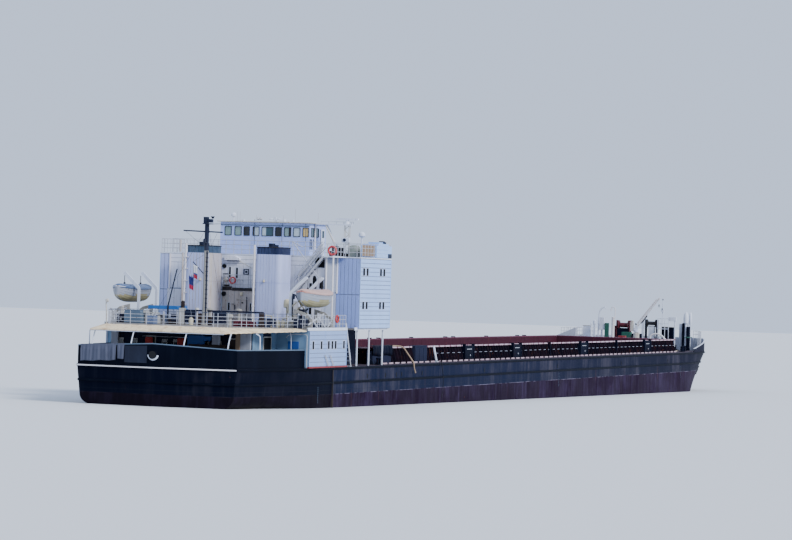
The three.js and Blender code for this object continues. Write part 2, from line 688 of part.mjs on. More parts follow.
function buildCraneBoom() {
  const boom = { reach: 400, root: 12, tip: 6, half: 9, bays: 5, rim: 3 };
  const depthAt = (y) => THREE.MathUtils.lerp(boom.root, boom.tip, y / boom.reach);
  const outline = [[0, -boom.root], [boom.reach, -boom.tip], [boom.reach, boom.tip], [0, boom.root]];
  const shape = new THREE.Shape(outline.map(([y, z]) => new THREE.Vector2(y, z)));
  for (let k = 0; k < boom.bays; k += 1) {
    const [from, to] = [(k + 0.12) * 78 + 8, (k + 0.88) * 78 + 8];
    const up = k % 2 === 0 ? 1 : -1;
    const corners = [[from, -up * (depthAt(from) - boom.rim)], [to, -up * (depthAt(to) - boom.rim)],
      [(from + to) / 2, up * (depthAt(from) - boom.rim)]];
    shape.holes.push(new THREE.Path(corners.map(([y, z]) => new THREE.Vector2(y, z))));
  }
  const pieces = [];
  for (const x of [-boom.half, boom.half - boom.rim]) {
    const side = new THREE.ExtrudeGeometry(shape, { depth: boom.rim, bevelEnabled: false });
    const axes = [new THREE.Vector3(0, 1, 0), new THREE.Vector3(0, 0, 1), new THREE.Vector3(1, 0, 0)];
    pieces.push(side.applyMatrix4(new THREE.Matrix4().makeBasis(...axes).setPosition(x, 0, 0)));
  }
  for (let k = 0; k <= boom.bays; k += 1) {
    const y = 3 + (k * (boom.reach - 8)) / boom.bays;
    pieces.push(block(-boom.half + 1, boom.half - 1, y - 2, y + 2, -depthAt(y) + 1, depthAt(y) - 1));
  }
  const tilt = THREE.MathUtils.degToRad(52);
  pieces.push(strut([-11, 0, 0], [11, 0, 0], 7, 8), strut([-8, boom.reach, 0], [8, boom.reach, 0], 8, 8));
  const hook = [0, boom.reach - 70 * Math.sin(tilt), -70 * Math.cos(tilt)];
  return fuse(pieces, strut([0, boom.reach, 0], hook, 2, 6)).rotateX(tilt).rotateZ(Math.PI);
}

function buildForeMast() {
  const z = mainDeck + seam;
  return fuse(
    strut([13550, -190, z], [13550, -190, 1110], 6, 8, 4),
    block(13520, 13580, -220, -160, z, z + 10),
    block(13535, 13565, -205, -175, 960, 990),
  );
}

const cowls = [[12830, 420], [12830, -400], [13300, -300], [13420, -200], [13300, 300]];

function buildCowl([x, y]) {
  const z = mainDeck + seam;
  return fuse(
    strut([x, y, z], [x, y, z + 90], 15, 8),
    new THREE.SphereGeometry(26, 8, 6).translate(x + 4, y, z + 100),
  );
}

function buildHoseReel() {
  const z = mainDeck + seam;
  const [x, y] = [12800, -300];
  return fuse(
    block(x - 30, x + 30, y - 34, y + 34, z, z + 10),
    strut([x - 24, y, z + 42], [x + 24, y, z + 42], 14, 12),
    strut([x - 24, y, z + 42], [x - 20, y, z + 42], 34, 14),
    strut([x + 20, y, z + 42], [x + 24, y, z + 42], 34, 14),
    block(x - 32, x - 22, y - 8, y + 8, z + 5, z + 45),
    block(x + 22, x + 32, y - 8, y + 8, z + 5, z + 45),
  );
}

function buildForeDavit() {
  const z = mainDeck + seam;
  const outer = [[236, z], [236, 880], [228, 955], [204, 996], [165, 1011], [148, 990]];
  const inner = [[157, 984], [168, 999], [196, 984], [216, 948], [224, 880], [224, z]];
  return plateAcross([...outer, ...inner], 12434, 12446);
}

function buildBowRail(sign) {
  const points = [12860, 13070, 13250, 13420, 13560].map((x) => [x, sign * (deckHalf(x) - 44)]);
  return fuse(railing(points, mainDeck + seam, { height: 215, spacing: 130, bars: [1, 0.82] }));
}

function buildAnchor() {
  return fuse(
    block(-6, 6, -5, 5, -40, 46),
    block(-32, 32, -8, 8, -52, -36),
    plateAlong([[-34, -44], [-20, -44], [-22, 12]], -6, 6),
    plateAlong([[34, -44], [22, 12], [20, -44]], -6, 6),
  );
}

// Underwater gear
function buildNozzle() {
  const inner = propeller.radius + 6;
  const profile = [
    [inner, -58], [inner + 5, -62], [inner + 14, -10], [inner + 20, 50],
    [inner + 12, 62], [inner + 3, 30], [inner, -58],
  ];
  const ring = new THREE.LatheGeometry(profile.map(([r, x]) => new THREE.Vector2(r, x)), 32).rotateZ(-Math.PI / 2);
  return fuse(ring, block(-24, 34, -7, 7, inner + 8, 129));
}

function buildPropeller(sign) {
  const parts = [strut([-22, 0, 0], [20, 0, 0], 17, 14, 14), strut([-38, 0, 0], [-20, 0, 0], 5, 14, 17)];
  for (let k = 0; k < 4; k += 1) {
    const outline = new THREE.Shape().absellipse(0, 50, 25, 36, 0, 2 * Math.PI);
    const blade = new THREE.ExtrudeGeometry(outline, { depth: 4, bevelEnabled: false, curveSegments: 8 });
    blade.translate(0, 0, -2).rotateY(sign * THREE.MathUtils.degToRad(58)).rotateX((k * Math.PI) / 2);
    parts.push(blade);
  }
  return fuse(parts);
}

function buildRudder() {
  const foil = [[38, 0], [30, 7], [5, 10], [-60, 6], [-110, 1], [-110, -1], [-60, -6], [5, -10], [30, -7]];
  return fuse(slab(foil, 22, 236), strut([0, 0, 230], [0, 0, 258], 8, 10));
}

// Assembly
addPiece("hull", buildHull(), hullPaint);
addPiece("hold_coaming", buildCoaming(), coamingPaint);
addPiece("stern_bulwark", buildSternBulwark(), hullPaint);
addPiece("bow_bulwark", buildBowBulwark(), hullPaint);
addPiece("main_deckhouse", block(houseAft, houseFore, -houseHalf, houseHalf, mainDeck + seam, 829.5), whitePaint);
addPiece("boat_deck", buildBoatDeck(), tanPaint);
addPiece("tier_two_house", buildTierTwo(), whitePaint);
addPiece("tier_three_house", buildTierThree(), whitePaint);
addPiece("bridge_deck", buildBridgeDeck(), whitePaint);
addPiece("bridge_rail", buildBridgeRail(), railPaint);
addPiece("wheelhouse", buildWheelhouse(), whitePaint);
addPiece("wheelhouse_roof", buildWheelhouseRoof(), whitePaint);
addPiece("aft_mast", buildAftMast(), mastPaint);
addPiece("bridge_stair", buildBridgeStair(), whitePaint);
addPiece("radar_platform", buildRadarPlatform(), whitePaint);
addPiece("radar_scanner", buildRadarScanner(), whitePaint, [radar.x, radar.y, radar.deck + 32]);
addPiece("windlass", buildWindlass(), redPaint);
addPiece("fore_hatches", buildForeHatches(), beigePaint);
addPiece("crane_pedestal", buildCranePedestal(), whitePaint);
addPiece("crane_column", buildCraneColumn(), beigePaint, [crane.x, crane.y, crane.slewZ]);
addPiece("crane_boom", buildCraneBoom(), beigePaint, [crane.x, crane.y, crane.footZ]);
addPiece("fore_mast", buildForeMast(), whitePaint);
addPiece("fore_davit", buildForeDavit(), whitePaint);
addPiece("hose_reel", buildHoseReel(), whitePaint);
addPiece("pump_hose", tubeAlong(hose), mastPaint);
addPiece("rope_end", tubeAlong(rope), mastPaint);
cowls.forEach((place, k) => addPiece(`cowl_vent_${k + 1}`, buildCowl(place), whitePaint));

for (const { side, sign } of sides) {
  const house = spanY(sign, sideHouse.inner, sideHouse.outer);
  addPiece(`side_house_${side}`, block(sideHouse.aft, sideHouse.fore, ...house, mainDeck + seam, 829.5), whitePaint);
  addPiece(`boat_deck_rail_${side}`, buildBoatDeckRail(sign), railPaint);
  addPiece(`tower_${side}`, buildTower(sign), whitePaint);
  addPiece(`sliding_door_${side}`, buildSlidingDoor(sign), whitePaint);
  addPiece(`funnel_${side}`, buildFunnel(sign), navyPaint);
  addPiece(`davit_frame_${side}`, buildDavitFrame(sign), whitePaint);
  addPiece(`davit_arms_${side}`, buildDavitArms(sign), whitePaint, [boat.x, sign * davit.pivotY, davit.pivotZ]);
  addPiece(`lifeboat_${side}`, buildLifeboat(), orangePaint, [boat.x, sign * boat.y, davit.tipZ]);
  addPiece(`deck_ladder_${side}`, buildDeckLadder(sign), whitePaint);
  addPiece(`bow_rail_${side}`, buildBowRail(sign), railPaint);
  addPiece(`nozzle_${side}`, buildNozzle(), steelPaint, [propeller.x, sign * propeller.y, propeller.z]);
  addPiece(`propeller_${side}`, buildPropeller(sign), bronze, [propeller.x, sign * propeller.y, propeller.z]);
  addPiece(`rudder_${side}`, buildRudder(), steelPaint, [510, sign * propeller.y, 0]);
  const anchorX = 13330;
  const lean = -sign * Math.atan2(hullHalf(anchorX, 500) - hullHalf(anchorX, 400), 100);
  const anchor = addPiece(`anchor_${side}`, buildAnchor(), steelPaint, [anchorX, sign * (hullHalf(anchorX, 360) + 22), 345]);
  anchor.rotation.set(lean, 0, -sign * 0.42);
}

const barge = new THREE.Group();
barge.add(ship);
export default barge;
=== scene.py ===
# A river cargo barge at one tenth size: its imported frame, dressed in finer shapes and
# weathered paint.
import math

import bpy
import numpy as np
from mathutils import Matrix


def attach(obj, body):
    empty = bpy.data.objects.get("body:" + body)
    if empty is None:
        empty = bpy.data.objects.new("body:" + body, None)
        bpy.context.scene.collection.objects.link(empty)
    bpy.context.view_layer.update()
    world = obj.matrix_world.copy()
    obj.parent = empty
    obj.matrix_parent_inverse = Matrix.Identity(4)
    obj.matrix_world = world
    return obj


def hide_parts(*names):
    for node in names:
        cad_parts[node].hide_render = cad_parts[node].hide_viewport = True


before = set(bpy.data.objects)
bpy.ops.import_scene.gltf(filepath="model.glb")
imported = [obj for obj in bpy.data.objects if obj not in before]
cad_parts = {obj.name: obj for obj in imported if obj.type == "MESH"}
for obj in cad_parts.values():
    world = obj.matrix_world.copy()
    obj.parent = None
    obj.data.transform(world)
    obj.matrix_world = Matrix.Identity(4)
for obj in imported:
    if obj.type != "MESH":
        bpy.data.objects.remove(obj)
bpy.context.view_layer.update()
print("frame loaded with", len(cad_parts), "nodes")

# Places are in ship millimetres: x from the stern, y to port, z above the flat bottom
sternToMiddle = 6.915
bothSides = [("port", 1), ("starboard", -1)]
levels = {"mainDeck": 550.5, "boatDeck": 843, "bridgeDeck": 1391}


def toMetres(points):
    return np.asarray(points, float) * 0.001 - np.array([sternToMiddle, 0.0, 0.0])


# Camera: the photograph's viewing place, in metres and degrees
viewpoint = {"place": (-28.144, -9.3675, 1.2012), "yaw": 19.5303, "pitch": 0.2280, "roll": 1.6797,
             "focalPixels": 3223.63, "imageWidth": 792}


def linked(name, data):
    made = bpy.data.objects.new(name, data)
    bpy.context.scene.collection.objects.link(made)
    return made


def standAt(thing, right, up, back, place=(0, 0, 0)):
    matrix = np.eye(4)
    matrix[:3, 0], matrix[:3, 1], matrix[:3, 2], matrix[:3, 3] = right, up, back, place
    thing.matrix_world = Matrix(matrix.tolist())


def addCamera():
    yaw, pitch, roll = (math.radians(viewpoint[key]) for key in ("yaw", "pitch", "roll"))
    look = np.array([math.cos(pitch) * math.cos(yaw), math.cos(pitch) * math.sin(yaw),
                     math.sin(pitch)])
    level = np.cross(look, [0, 0, 1.0])
    level /= np.linalg.norm(level)
    over = np.cross(level, look)
    right = math.cos(roll) * level + math.sin(roll) * over
    up = math.cos(roll) * over - math.sin(roll) * level
    lens = bpy.data.cameras.new("photoCamera")
    lens.sensor_width = 36
    lens.lens = 36 * viewpoint["focalPixels"] / viewpoint["imageWidth"]
    lens.clip_end = 2000
    camera = linked("photoCamera", lens)
    standAt(camera, right, up, -look, viewpoint["place"])
    bpy.context.scene.camera = camera


addCamera()


# Shapes: each is (points, list of face arrays), with its points in ship millimetres

# Eight corners and six faces for each row of x0, x1, y0, y1, z0, z1
def boxes(rows):
    rows = np.atleast_2d(np.asarray(rows, float))
    pick = np.array([[0, 2, 4], [1, 2, 4], [1, 3, 4], [0, 3, 4], [0, 2, 5], [1, 2, 5], [1, 3, 5],
                     [0, 3, 5]])
    faces = np.array([[0, 3, 2, 1], [4, 5, 6, 7], [0, 1, 5, 4], [1, 2, 6, 5], [2, 3, 7, 6],
                      [3, 0, 4, 7]])
    numbers = np.arange(len(rows))[:, None, None] * 8 + faces
    return rows[:, pick].reshape(-1, 3), [numbers.reshape(-1, 4)]


# A circle of points round each end of a straight line, joined by quads and closed by flat ends
def rods(lines, radius, sides=6, tip=None):
    lines = np.asarray(lines, float).reshape(-1, 2, 3)
    along = lines[:, 1] - lines[:, 0]
    along /= np.linalg.norm(along, axis=1, keepdims=True)
    guide = np.where(np.abs(along[:, 2:]) > 0.9, [[1.0, 0.0, 0.0]], [[0.0, 0.0, 1.0]])
    side = np.cross(along, guide)
    side /= np.linalg.norm(side, axis=1, keepdims=True)
    over = np.cross(along, side)
    turn = 2 * np.pi * (np.arange(sides) + 0.5) / sides
    ring = np.cos(turn)[None, :, None] * side[:, None] + np.sin(turn)[None, :, None] * over[:, None]
    reach = np.array([radius, radius if tip is None else tip], float)
    points = lines[:, :, None] + ring[:, None] * reach[None, :, None, None]
    start = np.arange(len(lines))[:, None, None] * 2 * sides
    k = np.arange(sides)
    quads = np.stack([k, (k + 1) % sides, (k + 1) % sides + sides, k + sides], axis=1)
    caps = np.stack([k[::-1], k + sides])
    return (points.reshape(-1, 3), [(start + quads).reshape(-1, 4),
                                    (start + caps).reshape(-1, sides)])


# A surface of two parameters: points[u, v], joined to the next row and column
def gridShape(points, loopU=False, loopV=False, capU=False, flip=False):
    points = np.asarray(points, float)
    nu, nv = points.shape[:2]
    u = np.arange(nu if loopU else nu - 1)[:, None]
    v = np.arange(nv if loopV else nv - 1)[None, :]
    a, b = u * nv + v, u * nv + (v + 1) % nv
    c, d = ((u + 1) % nu) * nv + (v + 1) % nv, ((u + 1) % nu) * nv + v
    faces = [np.stack([a, d, c, b], axis=-1).reshape(-1, 4)]
    if capU:
        faces += [np.arange(nv)[None, :], (np.arange(nv)[::-1] + (nu - 1) * nv)[None, :]]
    if flip:
        faces = [group[:, ::-1] for group in faces]
    return points.reshape(-1, 3), faces


# Every pair of two rows of numbers, as two tables: the first runs down, the second across
def crossed(down, over):
    return np.meshgrid(down, over, indexing="ij")


# A smooth curve through points: each stretch is a cubic whose slopes follow the neighbours
def smoothPath(points, count):
    points = np.asarray(points, float)
    wide = np.vstack([2 * points[0] - points[1], points, 2 * points[-1] - points[-2]])
    t = np.linspace(0, len(points) - 1, count)
    k = np.minimum(t.astype(int), len(points) - 2)
    f = (t - k)[:, None]
    p0, p1, p2, p3 = (wide[k + i] for i in range(4))
    return 0.5 * (2 * p1 + (p2 - p0) * f + (2 * p0 - 5 * p1 + 4 * p2 - p3) * f**2
                  + (3 * p1 - p0 - 3 * p2 + p3) * f**3)


# A closed profile carried along a path: its first number goes to the path's side, its
# second along the guide
def swept(profile, path, guide=(0, 0, 1), loop=False):
    path = np.asarray(path, float)
    if loop:
        slopes = np.roll(path, -1, axis=0) - np.roll(path, 1, axis=0)
    else:
        slopes = np.gradient(path, axis=0)
    slopes /= np.linalg.norm(slopes, axis=1, keepdims=True)
    side = np.cross(slopes, np.asarray(guide, float))
    side /= np.linalg.norm(side, axis=1, keepdims=True)
    over = np.cross(side, slopes)
    profile = np.asarray(profile, float)
    points = (path[:, None] + profile[None, :, :1] * side[:, None]
              + profile[None, :, 1:] * over[:, None])
    return gridShape(points, loopU=loop, loopV=True, capU=not loop)


def circleOf(radius, sides=8):
    turn = 2 * np.pi * (np.arange(sides) + 0.5) / sides
    return np.stack([radius * np.cos(turn), radius * np.sin(turn)], axis=1)


def tube(path, radius, sides=8, guide=(0, 0, 1), loop=False):
    return swept(circleOf(radius, sides), path, guide, loop)


# A profile of radius and height turned once round the upright through centre, its open
# ends capped flat
def revolved(profile, centre, steps=20, axis="z"):
    profile = np.asarray(profile, float)
    turn = 2 * np.pi * np.arange(steps) / steps
    radius, height = profile[:, 0, None], profile[:, 1, None]
    rings = np.stack([radius * np.cos(turn), radius * np.sin(turn), height + 0 * turn], axis=-1)
    order = {"z": [0, 1, 2], "x": [2, 0, 1], "y": [1, 2, 0]}[axis]
    return gridShape(rings[..., order] + np.asarray(centre, float), loopV=True, capU=True,
                     flip=True)


def ball(centre, radius, steps=14):
    tilt = np.linspace(-0.46 * np.pi, 0.46 * np.pi, max(6, steps // 2))
    return revolved(np.stack([radius * np.cos(tilt), radius * np.sin(tilt)], axis=1), centre, steps)


# An outline in one plane given a thickness: axis is the one it is extruded along
def prism(outline, low, high, axis="z"):
    outline = np.asarray(outline, float)
    order = {"z": [0, 1, 2], "x": [2, 0, 1], "y": [0, 2, 1]}[axis]
    after = np.roll(outline, -1, axis=0)
    area = np.sum(outline[:, 0] * after[:, 1] - outline[:, 1] * after[:, 0])
    if (area < 0) != (axis == "y"):
        outline = outline[::-1]
    rings = np.stack([np.column_stack([outline, np.full(len(outline), level)])
                      for level in (low, high)])
    return gridShape(rings[..., order], loopV=True, capU=True, flip=True)


# The line that stands on one spot, and the two ends of a span across the ship, lower one first
def upright(x, y, low, high):
    return [(x, y, low), (x, y, high)]


def across(side, inner, outer):
    return sorted((side * inner, side * outer))


def mirrored(shapes):
    return [(points * np.array([1, -1, 1]), [group[:, ::-1] for group in faces])
            for points, faces in shapes]


def sided(shapes, sign):
    return shapes if sign > 0 else mirrored(shapes)


pieceCount = 0


# Puts shapes into one mesh object that rides on a body, with creases kept where faces meet
# at a sharp angle
def addPiece(name, shapes, paint, body="hull", slot=None, replaces=(), crease=32, bevel=0.0):
    global pieceCount
    pieceCount += 1
    starts = np.cumsum([0] + [len(points) for points, _ in shapes])
    points = toMetres(np.vstack([points for points, _ in shapes]))
    groups = [group + start for (_, faces), start in zip(shapes, starts) for group in faces]
    corners = np.concatenate([group.ravel() for group in groups]).astype(np.int32)
    sizes = np.concatenate([np.full(len(group), group.shape[1]) for group in groups])
    mesh = bpy.data.meshes.new(name)
    mesh.vertices.add(len(points))
    mesh.vertices.foreach_set("co", points.ravel().astype(np.float32))
    mesh.loops.add(len(corners))
    mesh.loops.foreach_set("vertex_index", corners)
    mesh.polygons.add(len(sizes))
    starts = np.concatenate([[0], np.cumsum(sizes)[:-1]])
    mesh.polygons.foreach_set("loop_start", starts.astype(np.int32))
    mesh.update(calc_edges=True)
    mesh.validate()
    mesh.shade_smooth()
    mesh.set_sharp_from_angle(angle=math.radians(crease))
    made = linked(name, mesh)
    finishes = paint if isinstance(paint, list) else [paint]
    for finish in finishes:
        mesh.materials.append(paints[finish])
    if bevel:
        edge = made.modifiers.new("softEdge", "BEVEL")
        edge.width, edge.segments = bevel, 2
        edge.limit_method, edge.angle_limit = "ANGLE", math.radians(50)
    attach(made, body)
    slot = slot or usualSlots.get(finishes[0])
    if replaces:
        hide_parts(*([replaces] if isinstance(replaces, str) else replaces))
    return made


# Gives a cloth its thickness
def thicken(cloth, thickness, offset=-1.0):
    layer = cloth.modifiers.new("cloth", "SOLIDIFY")
    layer.thickness, layer.offset = thickness, offset


# Lengths of a point grid's lines along one of its two directions
def gridLengths(points, axis):
    return np.linalg.norm(np.diff(points, axis=axis), axis=2).sum(axis=axis)


# Cords over the starboard side, by the same routes as their solids
hoseLooks = {"name": "discharge_hose", "node": "pump_hose", "paint": "boardTan",
             "slot": "hose_rubber", "stiffness": "medium", "diameter": 12.0, "route": [
    (3187, -686, 691), (3199, -686, 691.5), (3210.5, -687.5, 692.5), (3221.5, -691.5, 693),
    (3231.5, -697.5, 693), (3240.5, -705, 693), (3247, -714.5, 692.5), (3256.5, -730, 691.5),
    (3261.5, -739.5, 690), (3266, -748.5, 686.5), (3269.5, -757, 681.5), (3272.5, -765, 674.5),
    (3274, -772, 666.5), (3277.5, -794, 636), (3281.5, -816, 605.5), (3285, -837.5, 574.5),
    (3286, -842, 567), (3287, -845.5, 559), (3288, -847.5, 551), (3289.5, -848, 542),
    (3292, -848, 531.5), (3296, -848.5, 521), (3301.5, -848.5, 511.5), (3308.5, -848.5, 503),
    (3329, -849, 481)]}
ropeLooks = {"name": "side_rope", "node": "rope_end", "paint": "ropeDark", "slot": "rope_fibre",
             "stiffness": "limp", "diameter": 5.0, "route": [
    (3975, -801, 567), (3977, -812, 568), (3985, -829, 565), (3993, -841, 556), (4002, -843, 540),
    (4024, -843, 500), (4042, -843, 455), (4052, -843, 405), (4053, -843, 360), (4044, -843, 310),
    (4022, -843, 262)]}


# Materials: small node helpers first
def addNode(tree, kind, feeds=None, **settings):
    made = tree.nodes.new(kind)
    for key, value in settings.items():
        setattr(made, key, value)
    for key, value in (feeds or {}).items():
        socket = made.inputs[key]
        if isinstance(value, bpy.types.NodeSocket):
            tree.links.new(value, socket)
        else:
            socket.default_value = value
    return made


def mathNode(tree, operation, first, second=0.0, clamp=False):
    made = addNode(tree, "ShaderNodeMath", {0: first, 1: second}, operation=operation,
                   use_clamp=clamp)
    return made.outputs[0]


def times(tree, first, second):
    return mathNode(tree, "MULTIPLY", first, second)


def mixColour(tree, share, first, second, kind="MIX"):
    feeds = {0: share, 6: first, 7: second}
    return addNode(tree, "ShaderNodeMix", feeds, data_type="RGBA", blend_type=kind).outputs[2]


def spread(tree, value, low, high):
    return addNode(tree, "ShaderNodeMapRange",
                   {"Value": value, "From Min": low, "From Max": high}).outputs[0]


def shade(code):
    parts = np.array([int(code[i:i + 2], 16) / 255 for i in (0, 2, 4)])
    linear = np.where(parts <= 0.04045, parts / 12.92, ((parts + 0.055) / 1.055) ** 2.4)
    return (*linear.tolist(), 1.0)


def newGroup(name, inputs, outputs):
    tree = bpy.data.node_groups.new(name, "ShaderNodeTree")
    for label, kind, value in inputs:
        socket = tree.interface.new_socket(label, in_out="INPUT", socket_type=f"NodeSocket{kind}")
        socket.default_value = value
    for label, kind in outputs:
        tree.interface.new_socket(label, in_out="OUTPUT", socket_type=f"NodeSocket{kind}")
    return tree, tree.nodes.new("NodeGroupInput").outputs, tree.nodes.new("NodeGroupOutput").inputs


def objectPlace(tree):
    return addNode(tree, "ShaderNodeTexCoord").outputs["Object"]


def axesOf(tree, vector):
    return addNode(tree, "ShaderNodeSeparateXYZ", {"Vector": vector}).outputs


# Noise in the object's own space, drawn out by a stretch for each axis
def noise(tree, stretch, fineness, detail, rough=0.5):
    place = addNode(tree, "ShaderNodeVectorMath", {0: objectPlace(tree), 1: stretch},
                    operation="MULTIPLY")
    feeds = {"Vector": place.outputs[0], "Scale": fineness, "Detail": detail, "Roughness": rough}
    return addNode(tree, "ShaderNodeTexNoise", feeds).outputs[0]


# Weather: upright run-down streaks and cloudy patches that stain a clean colour
def buildWeatherGroup():
    tree, given, out = newGroup("weather", [
        ("Clean", "Color", (1, 1, 1, 1)), ("Stain", "Color", (0.3, 0.2, 0.1, 1)),
        ("Streaks", "Float", 0.5), ("Patches", "Float", 0.4), ("Fineness", "Float", 60.0),
        ("Gloss", "Float", 0.5)],
        [("Color", "Color"), ("Roughness", "Float"), ("Height", "Float")])
    thin = noise(tree, (1, 1, 0.06), given["Fineness"], 4.0, 0.6)
    cloud = noise(tree, (1, 1, 0.7), times(tree, given["Fineness"], 0.13), 6.0, 0.65)
    streak = times(tree, spread(tree, thin, 0.48, 0.78), given["Streaks"])
    patch = times(tree, spread(tree, cloud, 0.48, 0.72), given["Patches"])
    both = mathNode(tree, "ADD", times(tree, streak, spread(tree, cloud, 0.3, 0.6)), patch,
                    clamp=True)
    uneven = mixColour(tree, spread(tree, cloud, 0.3, 0.7), shade("E6E6E6"), shade("FFFFFF"))
    lively = mixColour(tree, 1.0, given["Clean"], uneven, "MULTIPLY")
    dull = mathNode(tree, "ADD", given["Gloss"], times(tree, both, 0.3), clamp=True)
    height = mathNode(tree, "ADD", times(tree, thin, 0.35), times(tree, cloud, 0.65))
    tree.links.new(mixColour(tree, both, lively, given["Stain"]), out["Color"])
    tree.links.new(dull, out["Roughness"])
    tree.links.new(height, out["Height"])
    return tree


# Rust: spots where a noise peaks, each with a run of colour below it
def buildRustGroup():
    tree, given, out = newGroup("rust", [("Under", "Color", (1, 1, 1, 1)), ("Amount", "Float", 0.3),
                                         ("Size", "Float", 40.0)], [("Color", "Color")])
    spot = noise(tree, (1, 1, 1), given["Size"], 7.0, 0.7)
    run = noise(tree, (1.3, 1.3, 0.09), given["Size"], 3.0)
    floor = mathNode(tree, "SUBTRACT", 0.72, times(tree, given["Amount"], 0.25))
    spots = spread(tree, mathNode(tree, "SUBTRACT", spot, floor), 0.0, 0.04)
    runs = times(tree, spread(tree, mathNode(tree, "SUBTRACT", run, floor), 0.0, 0.12), 0.6)
    mask = mathNode(tree, "MAXIMUM", spots, runs, clamp=True)
    warm = mixColour(tree, spread(tree, spot, 0.4, 0.8), shade("5A2E1C"), shade("9A5A32"))
    tree.links.new(mixColour(tree, mask, given["Under"], warm), out["Color"])
    return tree


# Seams: thin lines at a steady pitch along x and up z, where plates are welded
def buildSeamGroup():
    tree, given, out = newGroup("plateSeams", [("Along", "Float", 0.6), ("Up", "Float", 0.18),
                                               ("Width", "Float", 0.003)], [("Mask", "Float")])
    split = axesOf(tree, objectPlace(tree))

    def lines(value, pitch):
        off = mathNode(tree, "PINGPONG", value, times(tree, pitch, 0.5))
        return mathNode(tree, "LESS_THAN", off, times(tree, given["Width"], 0.5))

    mask = mathNode(tree, "MAXIMUM", lines(split[0], given["Along"]), lines(split[2], given["Up"]))
    tree.links.new(mask, out["Mask"])
    return tree


weatherGroup, rustGroup, seamGroup = buildWeatherGroup(), buildRustGroup(), buildSeamGroup()


def newMaterial(name, **fixed):
    made = bpy.data.materials.new(name)
    made.use_nodes = True
    shader = made.node_tree.nodes["Principled BSDF"]
    shader.inputs["Specular IOR Level"].default_value = 0.2
    for key, value in fixed.items():
        shader.inputs[key].default_value = value
    return made, made.node_tree, shader


def placeGroup(tree, group, feeds):
    return addNode(tree, "ShaderNodeGroup", feeds, node_tree=group).outputs


# Weathered colour over a clean one, which is a code or a socket
def weathered(tree, clean, stain, streaks, patches, fineness, gloss):
    return placeGroup(tree, weatherGroup, {
        "Clean": shade(clean) if isinstance(clean, str) else clean, "Stain": shade(stain),
        "Streaks": streaks, "Patches": patches, "Fineness": fineness, "Gloss": gloss})


def addBump(tree, shader, height, strength, distance):
    bump = addNode(tree, "ShaderNodeBump", {"Height": height, "Strength": strength,
                                            "Distance": distance})
    tree.links.new(bump.outputs[0], shader.inputs["Normal"])


# Paint that has stood outdoors: clean colour, streaks, rust and a slightly uneven coat
def weatheredPaint(name, clean, stain, streaks, patches, fineness, gloss, rust=0.0, rustSize=45.0,
                   metal=0.0):
    made, tree, shader = newMaterial(name, Metallic=metal)
    weather = weathered(tree, clean, stain, streaks, patches, fineness, gloss)
    colour = weather["Color"]
    if rust:
        colour = placeGroup(tree, rustGroup, {"Under": colour, "Amount": rust,
                                              "Size": rustSize})["Color"]
    tree.links.new(colour, shader.inputs["Base Color"])
    tree.links.new(weather["Roughness"], shader.inputs["Roughness"])
    addBump(tree, shader, weather["Height"], 0.25, 0.004)
    return made


